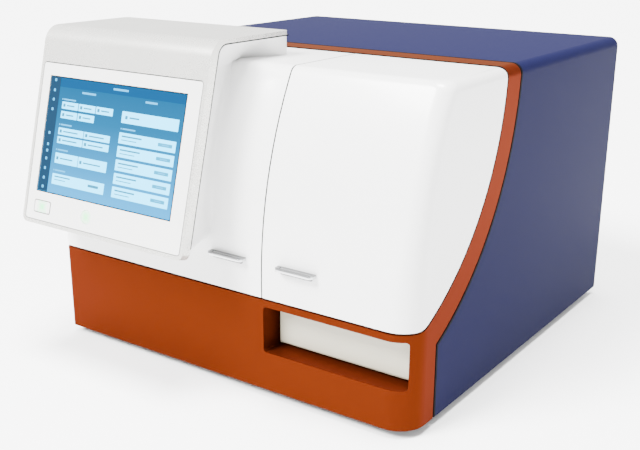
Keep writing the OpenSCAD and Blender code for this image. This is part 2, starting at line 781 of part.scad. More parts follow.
// Lip handle: a rounded tab with a rolled front edge on a curved web, its back flat on the door.
module lip_handle(x0) {
    back = front_y + face_y(front_handle_z - 2 * handle_t, 0) - 0.25;
    tip = back - handle_reach;
    r = handle_reach / 2;
    roll_r = handle_t * 0.6;
    roll_in = 0.8 * r;
    x1 = x0 + handle_l;
    difference() {
        union() {
            translate([0, 0, front_handle_z - handle_t]) linear_extrude(handle_t) {
                plane([x0, tip + r], [x1, back]);
                plane([x0 + r, tip], [x1 - r, back]);
                for (x = [x0 + r, x1 - r]) translate([x, tip + r]) circle(r);
            }
            // rolled front edge
            translate([x0 + roll_in, tip + roll_r - 0.4, front_handle_z - handle_t / 2]) {
                rotate([0, 90, 0]) cylinder(h = handle_l - 2 * roll_in, r = roll_r);
                for (x = [0, handle_l - 2 * roll_in]) translate([x, 0, 0]) sphere(roll_r);
            }
            along_x(x0 + r, x1 - r) difference() {
                plane([back - handle_reach * 0.55, front_handle_z - 2 * handle_t], [back, front_handle_z - handle_t]);
                translate([back - handle_reach * 0.7, front_handle_z - 2.1 * handle_t]) circle(handle_t);
            }
        }
        // finger groove on top
        along_x(x0 + r, x1 - r)
            translate([back - handle_reach * 0.4, front_handle_z + 7.2]) circle(7.8);
    }
}

module left_handle() {
    color("silver") lip_handle(left_handle_x);
}

module right_handle() {
    color("silver") lip_handle(right_handle_x);
}

// ---- display ----

// Rounded rectangle on the display's front plane, between depths d0 and d1.
module display_slab(lo, hi, r, d0, d1) {
    on_display() along_y(d0, d1) round_plane(lo, hi, r);
}

status_place = [status_x, status_v];
button_lo = [button_x0, button_v0];
button_hi = button_lo + [button_w, button_h];
button_r = 2.2;
button_fit = 0.4;
screen_lo = [screen_x0, screen_v];
screen_hi = screen_lo + [screen_w, screen_h];
lcd_border = 5;

module display_housing() {
    color([0.89, 0.90, 0.88]) difference() {
        intersection() {
            along_x(display_x0, display_x1) difference() {
                display_side(0, 0, display_back, display_z - 2 * housing_front_t);
                display_side(housing_front_t, housing_top_t, display_back + 1, display_z - 3 * housing_front_t);
            }
            on_display() along_y(-front_line, front_line)
                round_plane([display_x0, 0], [display_x1, 2 * front_line], display_corner_r);
            translate([0, 0, display_z - front_line]) linear_extrude(3 * front_line)
                round_plane([display_x0, display_y - front_line], [display_x1, display_back], boss_rear_r);
        }
        display_slab([panel_x0, panel_v0], [panel_x1, panel_v1], display_corner_r - panel_border, -1, panel_t);
        display_slab(screen_lo - [1, 1] * lcd_border, screen_hi + [1, 1] * lcd_border, 2, 0, 2 * housing_front_t);
        display_slab(button_lo - [1, 1] * button_fit, button_hi + [1, 1] * button_fit, button_r, 0, 2 * housing_front_t);
        on_display() translate([status_place[0], 0, status_place[1]]) rotate([-90, 0, 0])
            cylinder(h = 2 * housing_front_t, d = status_d - 4);
    }
}

module bezel_panel() {
    color([0.90, 0.91, 0.89]) difference() {
        display_slab([panel_x0, panel_v0] + [1, 1] * seat_gap, [panel_x1, panel_v1] - [1, 1] * seat_gap,
            display_corner_r - panel_border - seat_gap, 0, panel_t - seat_gap);
        display_slab(screen_lo, screen_hi, 0.8, -1, panel_t + 1);
        display_slab(button_lo - [1, 1] * button_fit, button_hi + [1, 1] * button_fit, button_r, -1, panel_t + 1);
        on_display() translate([status_place[0], -1, status_place[1]]) rotate([-90, 0, 0])
            cylinder(h = 2 * panel_t, d = status_d);
    }
}

module touch_screen() {
    color([0.10, 0.62, 0.83]) display_slab(screen_lo + [1, 1] * seat_gap, screen_hi - [1, 1] * seat_gap, 0.6,
        0.4, panel_t - seat_gap);
}

module lcd_module() {
    color("silver") display_slab(screen_lo - [1, 1] * (lcd_border - seat_gap), screen_hi + [1, 1] * (lcd_border - seat_gap),
        1.5, panel_t + 0.2, housing_front_t - 1);
}

board_d = housing_front_t + 8;
board_lo = screen_lo + [14, 8];
board_hi = screen_hi - [14, 8];

module display_board() {
    board_t = 1.6;
    color([0.06, 0.36, 0.20]) {
        display_slab(board_lo, board_hi, 3, board_d, board_d + board_t);
        for (x = [board_lo[0] + 6, board_hi[0] - 6], v = [board_lo[1] + 6, board_hi[1] - 6])
            on_display() translate([x, housing_front_t - 1 + seat_gap, v]) rotate([-90, 0, 0])
                cylinder(h = board_d + board_t / 2 - (housing_front_t - 1 + seat_gap), r = 3);
        for (p = [[30, 40, 34], [96, 66, 26], [150, 34, 20]])
            display_slab(board_lo + [p[0], p[1]], board_lo + [p[0] + p[2], p[1] + p[2]], 0.8,
                board_d + board_t - eps, board_d + board_t + 2);
        display_slab(board_lo + [20, 4], board_lo + [60, 14], 1, board_d + board_t - eps, board_d + board_t + 9);
    }
}

module status_light() {
    color([0.62, 0.92, 0.72]) on_display() translate([status_place[0], 0.1, status_place[1]])
        rotate([-90, 0, 0]) {
            cylinder(h = panel_t - 0.1 - seat_gap, d = status_d - 2 * seat_gap);
            cylinder(h = housing_front_t - 2, d = status_d - 4 - 2 * seat_gap);
        }
}

module power_button() {
    color([0.90, 0.91, 0.89]) display_slab(button_lo, button_hi, button_r - button_fit / 2, -0.4, housing_front_t - button_travel - 1.5);
}

// ---- plate drawer ----

drawer_front_y = front_y + recess_d;
carriage_y0 = drawer_front_y + drawer_t + seat_gap;
carriage_z = base_z + recess_z + 10;
carriage_top = carriage_z + carriage_t;
nest_y0 = carriage_y0 + 10;
nest_l = plate_l + 2 * plate_play;
nest_w = plate_w + 2 * plate_play;
nest_rim = 6;
carriage_stay = 54;
carriage_l = drawer_travel + carriage_stay;
chamber_wall = 3;
chamber_floor = base_z + recess_z - 2;
chamber_roof = recess_z1 - 1;
chamber_y0 = recess_back_y + 2;
chamber_y1 = carriage_y0 + carriage_l + 75;
chamber_half = carriage_w / 2 + 7;
rail_x = 58;
rail_w = 9;
rail_z = chamber_floor + 2;
rail_top = rail_z + 8;
block_l = 37;
block_y0 = carriage_y0 + carriage_l - block_l - 8;
optic_y = nest_y0 + nest_w + 34;
optic_r = 12;
belt_t = 1.4;
belt_z0 = rail_z + 2.5;
belt_z1 = belt_z0 + 5;
idler_y = chamber_y0 + 15;
drive_y = chamber_y1 - 17;
clamp_y1 = block_y0 + block_l;
clamp_y0 = clamp_y1 - 7;
pusher_half_w = 3;
pusher_pin_r = 2;
pusher_x = drawer_x - nest_l / 2 - pusher_half_w + plate_play / 2;
pusher_y = nest_y0 + nest_w + 16;

// Block with rounded front edges of radius r between two corners of a front view.
module pillow(lo, hi, y0, y1, r) {
    intersection() {
        along_y(y0, y1) round_plane(lo, hi, r / 2);
        translate([0, 0, lo[1]]) linear_extrude(hi[1] - lo[1]) round_plane([lo[0], y0], [hi[0], y1 + 2 * r], r);
        along_x(lo[0], hi[0]) round_plane([y0, lo[1]], [y1 + 2 * r, hi[1]], r);
    }
}

module drawer_front() {
    drawer_wall = 2.5;
    lo = [recess_x0 + drawer_gap, recess_z0 + drawer_gap];
    hi = [recess_x1 - drawer_gap, recess_z1 - drawer_gap];
    color([0.82, 0.81, 0.78]) difference() {
        pillow(lo, hi, drawer_front_y, drawer_front_y + drawer_t, drawer_edge_r);
        pillow(lo + [1, 1] * drawer_wall, hi - [1, 1] * drawer_wall, drawer_front_y + drawer_wall,
            drawer_front_y + drawer_t + 1, drawer_edge_r - drawer_wall);
    }
}

module plate_carriage() {
    x0 = drawer_x - carriage_w / 2;
    x1 = drawer_x + carriage_w / 2;
    y1 = carriage_y0 + carriage_l;
    nest_lo = [drawer_x - nest_l / 2, nest_y0];
    nest_hi = [drawer_x + nest_l / 2, nest_y0 + nest_w];
    tab_w = 52;
    color([0.24, 0.25, 0.27]) difference() {
        union() {
            translate([0, 0, carriage_z]) linear_extrude(carriage_t) round_plane([x0, carriage_y0], [x1, y1], 4);
            translate([0, 0, carriage_z]) linear_extrude(carriage_t + nest_depth)
                round_plane(nest_lo - [1, 1] * nest_rim, nest_hi + [1, 1] * nest_rim, 5);
            // tab that carries the drawer front, inside its rear hollow
            block([drawer_x - tab_w, drawer_front_y + 3, carriage_z], [drawer_x + tab_w, carriage_y0 + 6, carriage_top]);
            block([drawer_x - tab_w, drawer_front_y + 3, carriage_z], [drawer_x + tab_w, drawer_front_y + 6, carriage_z + 30]);
            // jaw round the belt
            block([drawer_x + pulley_r - 4, clamp_y0, belt_z0 - 0.5], [drawer_x + pulley_r + 4, clamp_y1, carriage_z + eps]);
            rod(pusher_x, pusher_y, carriage_top - eps, carriage_top + 5, pusher_pin_r);
        }
        translate([0, 0, carriage_top]) linear_extrude(nest_depth + 1) plane(nest_lo, nest_hi);
        translate([0, 0, carriage_z - 1]) linear_extrude(carriage_t + 2)
            round_plane(nest_lo + [1, 1] * 7, nest_hi - [1, 1] * 7, 4);
        // finger notches at both ends of the plate
        for (x = [nest_lo[0] - nest_rim - 1, nest_hi[0] - 1])
            block([x, nest_y0 + nest_w / 2 - 15, carriage_top], [x + nest_rim + 2, nest_y0 + nest_w / 2 + 15, carriage_top + nest_depth + 1]);
        // room for the corner pusher
        block([nest_lo[0] - nest_rim - 1, nest_hi[1] - 12, carriage_top], [nest_lo[0] + 10, nest_hi[1] + nest_rim + 1, carriage_top + nest_depth + 1]);
        block([drawer_x + pulley_r - belt_t / 2 - 0.4, clamp_y0 - 1, belt_z0 - 1], [drawer_x + pulley_r + belt_t / 2 + 0.4, clamp_y1 + 1, belt_z1 + 0.4]);
        for (x = [-38, 14]) translate([0, 0, carriage_z - 1]) linear_extrude(carriage_t + 2)
            round_plane([drawer_x + x, nest_hi[1] + 24], [drawer_x + x + 24, y1 - 52], 5);
    }
}

module runner_blocks() {
    color("silver") for (side = [-1, 1]) translate([drawer_x + side * rail_x, 0, 0]) difference() {
        block([-10, block_y0, rail_z + 2], [10, block_y0 + block_l, carriage_z - seat_gap]);
        block([-rail_w / 2 - seat_gap, block_y0 - 1, rail_z], [rail_w / 2 + seat_gap, block_y0 + block_l + 1, rail_top + seat_gap]);
    }
}

// Lever on a pin behind the nest: its sprung tip holds the plate, its tail is struck by a stop.
module corner_pusher() {
    arm_l = 18;
    tail_l = 20;
    color([0.80, 0.35, 0.10]) translate([pusher_x, pusher_y, carriage_top + seat_gap]) linear_extrude(3.5) difference() {
        union() {
            circle(5);
            plane([-pusher_half_w, -arm_l], [pusher_half_w, 0]);
            translate([0, -arm_l]) circle(pusher_half_w);
            plane([0, -2.5], [tail_l, 2.5]);
        }
        circle(pusher_pin_r + pin_fit);
    }
}

module carriage_rails() {
    color("silver") for (side = [-1, 1])
        block([drawer_x + side * rail_x - rail_w / 2, chamber_y0 + 4, rail_z], [drawer_x + side * rail_x + rail_w / 2, chamber_y1 - 10, rail_top]);
}

// Plan of a belt loop of half thickness t round both pulleys.
module belt_plan(t) {
    plane([drawer_x - pulley_r - t, idler_y], [drawer_x + pulley_r + t, drive_y]);
    for (y = [idler_y, drive_y]) translate([drawer_x, y]) circle(pulley_r + t);
}

module drive_belt() {
    color([0.07, 0.07, 0.08]) translate([0, 0, belt_z0]) linear_extrude(belt_z1 - belt_z0) difference() {
        belt_plan(belt_t / 2);
        belt_plan(-belt_t / 2);
    }
}

module pulley() {
    flange_r = pulley_r + 1.5;
    rod(0, 0, belt_z0 - 1.5, belt_z1 + 1.5, pulley_r - belt_t / 2 - seat_gap);
    rod(0, 0, belt_z0 - 1.5, belt_z0 - seat_gap, flange_r);
    rod(0, 0, belt_z1 + seat_gap, belt_z1 + 1.5, flange_r);
}

motor_w = 40;
motor_top = chamber_floor - seat_gap;
motor_h = 32;

module drive_pulley() {
    color("silver") translate([drawer_x, drive_y, 0]) {
        pulley();
        rod(0, 0, motor_top - 14, belt_z0, shaft_d / 2);
    }
}

module idler_pulley() {
    color("silver") translate([drawer_x, idler_y, 0]) difference() {
        pulley();
        rod(0, 0, belt_z0 - 3, belt_z1 + 3, shaft_d / 2 + pin_fit);
    }
}

module idler_post() {
    color("gray") translate([drawer_x, idler_y, 0]) {
        rod(0, 0, rail_z, belt_z1 + 1.5, shaft_d / 2);
        rod(0, 0, rail_z, belt_z0 - 1.5 - seat_gap, shaft_d / 2 + 1.5);
    }
}

module drive_motor() {
    color([0.12, 0.12, 0.13]) difference() {
        union() {
            translate([0, 0, motor_top - motor_h]) linear_extrude(motor_h)
                round_plane([drawer_x - motor_w / 2, drive_y - motor_w / 2], [drawer_x + motor_w / 2, drive_y + motor_w / 2], 4);
        }
        rod(drawer_x, drive_y, motor_top - 15, motor_top + 1, shaft_d / 2 + pin_fit);
    }
}

module read_chamber() {
    x0 = drawer_x - chamber_half - chamber_wall;
    x1 = drawer_x + chamber_half + chamber_wall;
    color([0.13, 0.13, 0.14]) difference() {
        union() {
            block([x0, chamber_y0, chamber_floor], [x1, chamber_y1, chamber_roof + 2]);
            for (x = [x0, x1 - 12], y = [chamber_y0 + 20, chamber_y1 - 32])
                block([x, y, base_z + sheet + seat_gap], [x + 12, y + 12, chamber_floor + eps]);
        }
        block([x0 + chamber_wall, chamber_y0 - 1, rail_z], [x1 - chamber_wall, chamber_y1 - chamber_wall, chamber_roof]);
        rod(drawer_x, optic_y, chamber_floor - 1, chamber_roof + 3, optic_r);
        rod(drawer_x, drive_y, chamber_floor - 1, rail_z + 1, shaft_d / 2 + 1);
    }
}

// ---- optics ----

head_x0 = drawer_x - 70;
head_x1 = drawer_x + 70;
head_y0 = front_y + 84;
head_y1 = bulk_y - 16;
head_z0 = deck_top + seat_gap;
head_h = 96;
filter_w = 44;
filter_t = 12;
filter_z = head_z0 + 40;
filter_travel = 40;
filter_y0 = head_y0 - 16;
filter_l = filter_travel + 68;

module optics_head() {
    color([0.20, 0.21, 0.23]) difference() {
        union() {
            translate([0, 0, head_z0]) linear_extrude(head_h) round_plane([head_x0, head_y0], [head_x1, head_y1], 8);
            translate([0, 0, head_z0 + head_h - eps]) linear_extrude(12)
                round_plane([head_x0 + 14, head_y0 + 14], [head_x1 - 14, head_y1 - 14], 8);
            for (x = [head_x0 - 8, head_x1 - 4]) block([x, head_y0 + 12, head_z0], [x + 12, head_y1 - 12, head_z0 + 4]);
        }
        block([drawer_x - filter_w / 2 - seat_gap, head_y0 - 1, filter_z - seat_gap],
            [drawer_x + filter_w / 2 + seat_gap, filter_y0 + filter_l + 1, filter_z + filter_t + seat_gap]);
        rod(drawer_x, optic_y, head_z0 - 1, filter_z + 1, optic_r - 2);
    }
}

module filter_slide() {
    color([0.42, 0.43, 0.46]) difference() {
        union() {
            block([drawer_x - filter_w / 2, filter_y0, filter_z], [drawer_x + filter_w / 2, filter_y0 + filter_l, filter_z + filter_t]);
            block([drawer_x - 8, filter_y0 - 10, filter_z + 2], [drawer_x + 8, filter_y0 + eps, filter_z + filter_t - 2]);
        }
        for (k = [0:2], x = [-11, 11]) rod(drawer_x + x, filter_y0 + 30 + k * 28, filter_z - 1, filter_z + filter_t + 1, 8);
    }
}

bench_x0 = 22;
bench_x1 = liner_half;
bench_y0 = bulk_y + 12;
bench_y1 = bench_y0 + 262;
bench_z = deck_z;
bench_t = 8;
bench_top = bench_z + bench_t;

module optics_bench() {
    color("silver") {
        translate([0, 0, bench_z]) linear_extrude(bench_t) round_plane([bench_x0, bench_y0], [bench_x1, bench_y1], 6);
        for (x = [bench_x0 + 10, bench_x1 - 6.2], y = [bench_y0 + 10, bench_y1 - 10])
            rod(x, y, base_z + 2 * sheet + 2 * seat_gap, bench_z + eps, 6);
    }
}

mono_l = 120;
mono_w = 96;
mono_h = 74;
mono_y0 = bench_y0 + 12;

// Closed monochromator: a cast box with a flanged lid and a beam port.
module monochromator(x0) {
    z0 = bench_top + seat_gap;
    difference() {
        union() {
            translate([0, 0, z0]) linear_extrude(mono_h) round_plane([x0, mono_y0], [x0 + mono_w, mono_y0 + mono_l], 8);
            translate([0, 0, z0 + mono_h - 8]) linear_extrude(4)
                round_plane([x0 - 3, mono_y0 - 3], [x0 + mono_w + 3, mono_y0 + mono_l + 3], 10);
        }
        translate([x0 + mono_w / 2, mono_y0 - 1, z0 + 34]) rotate([-90, 0, 0]) cylinder(h = 14, r = 9);
    }
}

module excitation_monochromator() {
    color([0.16, 0.17, 0.18]) monochromator(bench_x0 + 12);
}

module emission_monochromator() {
    color([0.16, 0.17, 0.18]) monochromator(bench_x0 + 12 + mono_w + 14);
}

module flash_lamp() {
    x0 = bench_x0 + 20;
    y0 = mono_y0 + mono_l + 20;
    z0 = bench_top + seat_gap;
    color("darkgray") {
        translate([0, 0, z0]) linear_extrude(54) round_plane([x0, y0], [x0 + 64, y0 + 60], 4);
        for (k = [0:7]) block([x0 + 5 + k * 7, y0 + 6, z0 + 54 - eps], [x0 + 8 + k * 7, y0 + 54, z0 + 68]);
    }
}

module detector() {
    x = bench_x0 + 12 + mono_w * 1.5 + 14;
    y0 = mono_y0 + mono_l + 14;
    z0 = bench_top + seat_gap;
    color([0.10, 0.10, 0.11]) {
        translate([0, 0, z0]) linear_extrude(14) round_plane([x - 22, y0], [x + 22, y0 + 80], 3);
        translate([x, y0 + 4, z0 + 30]) rotate([-90, 0, 0]) cylinder(h = 72, r = 18);
    }
}

// ---- injectors ----

injector_pitch = 52;
injector_xs = [-half_w + 108, -half_w + 108 + injector_pitch];
injector_y = bulk_y - 34;
pump_w = 42;
pump_d = 30;
pump_z1 = head_z0 + 104;
barrel_r = 7;
barrel_bore = 5.6;
plunger_travel = 24;
barrel_l = plunger_travel + 38;
barrel_y = injector_y - pump_d / 2 - barrel_r - 4;
barrel_z0 = pump_z1 + 2;

module injector_frame() {
    plate_y0 = injector_y + pump_d / 2;
    color([0.33, 0.34, 0.36]) {
        block([injector_xs[0] - 30, plate_y0 - eps, head_z0], [injector_xs[1] + 30, plate_y0 + 3, barrel_z0 + barrel_l + 30]);
        block([injector_xs[0] - 30, plate_y0 - pump_d - 20, head_z0], [injector_xs[1] + 30, plate_y0, head_z0 + 3]);
        for (x = injector_xs) {
            difference() {
                translate([0, 0, head_z0 + 3 - eps]) linear_extrude(52)
                    round_plane([x - pump_w / 2, injector_y - pump_d / 2], [x + pump_w / 2, injector_y + pump_d / 2], 4);
                block([x - 3, injector_y - pump_d / 2 - 1, head_z0 + 8], [x + 3, injector_y - pump_d / 2 + 6, head_z0 + 50]);
            }
            // arm that holds the barrel at its top, with the valve above it
            block([x - 13, barrel_y - 10, barrel_z0 + barrel_l + seat_gap], [x + 13, plate_y0, barrel_z0 + barrel_l + 18]);
            difference() {
                block([x - 11, barrel_y - 10, barrel_z0 + 6], [x + 11, plate_y0, barrel_z0 + 14]);
                rod(x, barrel_y, barrel_z0, barrel_z0 + 20, barrel_r + 0.3);
            }
        }
    }
}

module syringe_barrels() {
    color([0.85, 0.90, 0.92, 0.5]) for (x = injector_xs) difference() {
        union() {
            rod(x, barrel_y, barrel_z0, barrel_z0 + barrel_l, barrel_r);
            rod(x, barrel_y, barrel_z0, barrel_z0 + 2, barrel_r + 3);
        }
        rod(x, barrel_y, barrel_z0 - 1, barrel_z0 + barrel_l - 4, barrel_bore);
    }
}

// Plunger with its seal high in the barrel and its thumb plate below.
module plunger(x) {
    seal_z1 = barrel_z0 + barrel_l - 6;
    rod(x, barrel_y, seal_z1 - 6, seal_z1, barrel_bore - pin_fit);
    rod(x, barrel_y, barrel_z0 - 14, seal_z1 - 5, 2);
    rod(x, barrel_y, barrel_z0 - 18, barrel_z0 - 14 + eps, 8);
}

module left_plunger() {
    color("whitesmoke") plunger(injector_xs[0]);
}

module right_plunger() {
    color("whitesmoke") plunger(injector_xs[1]);
}

bottle_pitch = 48;
bottle_xs = [injector_xs[1] + 62, injector_xs[1] + 62 + bottle_pitch];
bottle_y = injector_y - 10;
bottle_r = 17;
bottle_fit = 0.4;

module bottle_holder() {
    color([0.30, 0.31, 0.33]) difference() {
        translate([0, 0, head_z0]) linear_extrude(30)
            round_plane([bottle_xs[0] - bottle_r - 5, bottle_y - bottle_r - 5], [bottle_xs[1] + bottle_r + 5, bottle_y + bottle_r + 5], 8);
        for (x = bottle_xs) rod(x, bottle_y, head_z0 + 3, head_z0 + 31, bottle_r + bottle_fit);
    }
}

module reagent_bottles() {
    z0 = head_z0 + 3 + seat_gap;
    color([0.45, 0.24, 0.08]) for (x = bottle_xs) {
        rod(x, bottle_y, z0, z0 + 52, bottle_r);
        translate([x, bottle_y, z0 + 52 - eps]) cylinder(h = 9, r1 = bottle_r, r2 = 9);
        rod(x, bottle_y, z0 + 60, z0 + 68, 9);
        rod(x, bottle_y, z0 + 66, z0 + 80, 11);
    }
}

// ---- electrics ----

supply_size = [100, 180, 46];
supply_in = 28;
board_size = [124, 190];
board_back = 60;

module power_supply() {
    lo = [-half_w + supply_in, back_y - board_back - supply_size[1]];
    hi = [lo[0] + supply_size[0], back_y - board_back];
    z0 = base_z + sheet + seat_gap;
    slot_in = 10;
    color("silver") difference() {
        translate([0, 0, z0]) linear_extrude(supply_size[2]) plane(lo, hi);
        for (k = [0:9])
            block([lo[0] + slot_in, lo[1] + 2 * slot_in + k * 14, z0 + supply_size[2] - 4],
                [hi[0] - slot_in, lo[1] + 2 * slot_in + k * 14 + 4, z0 + supply_size[2] + 1]);
    }
}

module main_board() {
    lo = [-half_w + supply_in + supply_size[0] + 26, back_y - board_back - board_size[1]];
    hi = lo + board_size;
    z0 = base_z + sheet + seat_gap;
    board_z = z0 + 8;
    board_t = 1.6;
    color([0.06, 0.36, 0.20]) {
        translate([0, 0, board_z]) linear_extrude(board_t) round_plane(lo, hi, 3);
        for (x = [lo[0] + 6, hi[0] - 6], y = [lo[1] + 6, hi[1] - 6]) rod(x, y, z0, board_z + eps, 3);
        // chips
        for (p = [[20, 30, 30], [70, 40, 24], [30, 90, 18], [74, 110, 34]])
            translate([0, 0, board_z + board_t - eps]) linear_extrude(3)
                plane(lo + [p[0], p[1]], lo + [p[0] + p[2], p[1] + p[2]]);
        // cooler fins on the largest chip
        for (k = [0:4]) block([lo[0] + 76 + k * 6, lo[1] + 112, board_z + 4.5], [lo[0] + 79 + k * 6, lo[1] + 142, board_z + 18]);
        // plug row
        for (k = [0:2]) block([lo[0] + 16 + k * 30, lo[1] + 160, board_z + 1.5], [lo[0] + 38 + k * 30, lo[1] + 168, board_z + 12]);
    }
}

fan_y1 = panel_front_y - seat_gap;
fan_y0 = fan_y1 - fan_d;
hub_r = 17;

module fan_frame() {
    color([0.09, 0.09, 0.10]) translate([fan_x, 0, fan_z]) {
        difference() {
            along_y(fan_y0, fan_y1) round_plane([-fan_w / 2, -fan_w / 2], [fan_w / 2, fan_w / 2], 5);
            along_y(fan_y0 - 1, fan_y1 + 1) {
                circle(d = fan_w - 4);
                for (sx = [-1, 1], sz = [-1, 1]) translate([sx, sz] * (fan_w / 2 - 4.2)) circle(screw_r + 0.25);
            }
        }
        // hub carrier on three arms, with the rotor's bearing pin
        along_y(fan_y0, fan_y0 + 3) {
            circle(hub_r - 1);
            for (k = [0:2]) rotate(30 + 120 * k) translate([0, -2.5]) square([fan_w / 2 - 1.5, 5]);
        }
        along_y(fan_y0, fan_y1 - 6) circle(2);
    }
}

module fan_rotor() {
    tip_r = fan_w / 2 - 3;
    y0 = fan_y0 + 3.6;
    y1 = fan_y1 - 2;
    color([0.09, 0.09, 0.10]) translate([fan_x, 0, fan_z]) difference() {
        union() {
            along_y(y0, y1) circle(hub_r);
            intersection() {
                along_y(y0 + 1, y1) difference() {
                    circle(tip_r);
                    circle(hub_r - 1);
                }
                for (k = [0:fan_blades - 1]) rotate([0, 360 / fan_blades * k, 0])
                    translate([0, (y0 + y1) / 2, 0]) rotate([0, 0, 38])
                        translate([-1, -fan_d, 0]) cube([2, 2 * fan_d, fan_w / 2]);
            }
        }
        along_y(y0 - 1, fan_y1 - 5.5) circle(2 + pin_fit);
    }
}

module fan_guard() {
    wire = 1.6;
    y0 = panel_back_y + seat_gap;
    screw_at = (fan_w / 2 - 4.2) * sqrt(2);
    color("silver") translate([fan_x, 0, fan_z]) difference() {
        along_y(y0, y0 + wire) {
            for (r = [hub_r:6.5:fan_w / 2]) difference() {
                circle(r + wire / 2);
                circle(r - wire / 2);
            }
            for (a = [45:90:315]) rotate(a) {
                translate([hub_r, -wire / 2]) square([screw_at - hub_r, wire]);
                translate([screw_at, 0]) circle(4);
            }
        }
        along_y(y0 - 1, y0 + wire + 1) for (a = [45:90:315]) rotate(a) translate([screw_at, 0]) circle(screw_r + 0.25);
    }
}

module power_inlet() {
    cavity_d = 17;
    y1 = panel_back_y + seat_gap;
    pin_w = 2;
    pin_y1 = y1 + 2.5 - 6;
    color([0.08, 0.08, 0.09]) {
        difference() {
            union() {
                along_y(y1, y1 + 2.5) translate([inlet_x, inlet_z])
                    round_plane([-inlet_w / 2, -inlet_h / 2], [inlet_w / 2, inlet_h / 2], 3);
                along_y(y1 - 26, y1 + eps) translate([inlet_x, inlet_z])
                    square([inlet_w - 4.6, inlet_h - 4.6], center = true);
            }
            along_y(y1 + 2.5 - cavity_d, y1 + 4) translate([inlet_x, inlet_z])
                polygon([[-12.5, -8.5], [12.5, -8.5], [12.5, 4], [8, 8.5], [-8, 8.5], [-12.5, 4]]);
        }
    }
    color("silver") for (p = [[-7, -2], [7, -2], [0, 3]])
        block([inlet_x + p[0] - pin_w / 2, y1 + 2.5 - cavity_d - eps, inlet_z + p[1] - 2], [inlet_x + p[0] + pin_w / 2, pin_y1, inlet_z + p[1] + 2]);
    // frame of the rocker switch, with its pivot holes
    color([0.08, 0.08, 0.09]) difference() {
        union() {
            along_y(y1, y1 + 2) translate([switch_x, inlet_z])
                round_plane([-switch_w / 2, -switch_h / 2], [switch_w / 2, switch_h / 2], 2);
            along_y(y1 - 16, y1 + eps) translate([switch_x, inlet_z])
                square([switch_w - 2.6, switch_h - 2.6], center = true);
        }
        along_y(y1 - 14, y1 + 3) translate([switch_x, inlet_z]) square([switch_w - 6, switch_h - 6], center = true);
        translate([switch_x - switch_w / 2 + 1.8, rocker_y, inlet_z]) rotate([0, 90, 0])
            cylinder(h = switch_w - 3.6, r = rocker_pin_r + pin_fit);
    }
}

rocker_y = panel_back_y - 3;
rocker_pin_r = 1.2;

// Rocker: a shallow V that turns on its pins; one half stands out at rest.
module power_switch() {
    reach = (switch_h - 7) / 2;
    color([0.10, 0.10, 0.11]) translate([switch_x, rocker_y, inlet_z]) rotate([switch_angle / 2, 0, 0]) {
        along_x(-(switch_w - 7) / 2, (switch_w - 7) / 2) polygon([[-4, -4], [-4, 4], [3.6, reach], [6.6, reach - 0.6],
            [5.2, 0], [6.6, -reach + 0.6], [3.6, -reach]]);
        translate([-(switch_w - 4) / 2, 0, 0]) rotate([0, 90, 0]) cylinder(h = switch_w - 4, r = rocker_pin_r);
    }
}

// Open metal shell of a socket, its mouth flush outside the rear panel.
module socket(x, w, h, t, d) {
    translate([x, 0, ports_z]) difference() {
        along_y(panel_back_y + 0.8 - d, panel_back_y + 0.8) square([w + 2 * t, h + 2 * t], center = true);
        along_y(panel_back_y + 2.8 - d, panel_back_y + 2) square([w, h], center = true);
    }
}

// Width, height and shell thickness of each socket
sockets = [[lan_w, lan_h, 2], [usb_w, usb_h, 0.6], [usb_w, usb_h, 0.6]];

module data_ports() {
    socket_d = 17;
    support_half = 5;
    board_top = ports_z - 8.4;
    color("silver") for (k = [0:2])
        socket(ports_x + k * port_pitch, sockets[k][0], sockets[k][1], sockets[k][2], socket_d);
    color([0.06, 0.36, 0.20]) block([ports_x - lan_w, panel_front_y - 30, board_top - 1.6],
        [ports_x + 2 * port_pitch + lan_w, panel_front_y - 1, board_top]);
    color([0.08, 0.08, 0.09]) for (k = [0:2])
        block([ports_x + k * port_pitch - support_half, panel_front_y - 14, board_top - eps],
            [ports_x + k * port_pitch + support_half, panel_front_y - 3,
                ports_z - (sockets[k][1] + sockets[k][2]) / 2]);
}

base_plate();
front_bezel();
rear_cover();
rear_panel();
front_bulkhead();
front_deck();
light_seal();
feet();
cover_screws();
hinge_brackets();
hinge_rod();
door_magnets();
left_door();
left_hinge_leaf();
left_handle();
display_housing();
bezel_panel();
touch_screen();
lcd_module();
display_board();
status_light();
power_button();
right_door();
right_hinge_leaf();
right_handle();
drawer_front();
plate_carriage();
runner_blocks();
corner_pusher();
carriage_rails();
drive_belt();
drive_pulley();
idler_pulley();
drive_motor();
idler_post();
read_chamber();
optics_bench();
optics_head();
filter_slide();
flash_lamp();
excitation_monochromator();
emission_monochromator();
detector();
injector_frame();
syringe_barrels();
left_plunger();
right_plunger();
bottle_holder();
reagent_bottles();
power_supply();
main_board();
fan_frame();
fan_rotor();
fan_guard();
power_inlet();
power_switch();
data_ports();
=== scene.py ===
"""Looks of a bench-top microplate reader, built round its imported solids.

Millimetres are written as numbers times MM; everything stands in the frame of the solids,
with +Z up and the user on the -Y side.
"""
import json
import math

import bmesh
import bpy
from bpy.props import FloatProperty, FloatVectorProperty, PointerProperty
from bpy.types import Operator, Panel, PropertyGroup
from mathutils import Matrix, Quaternion, Vector

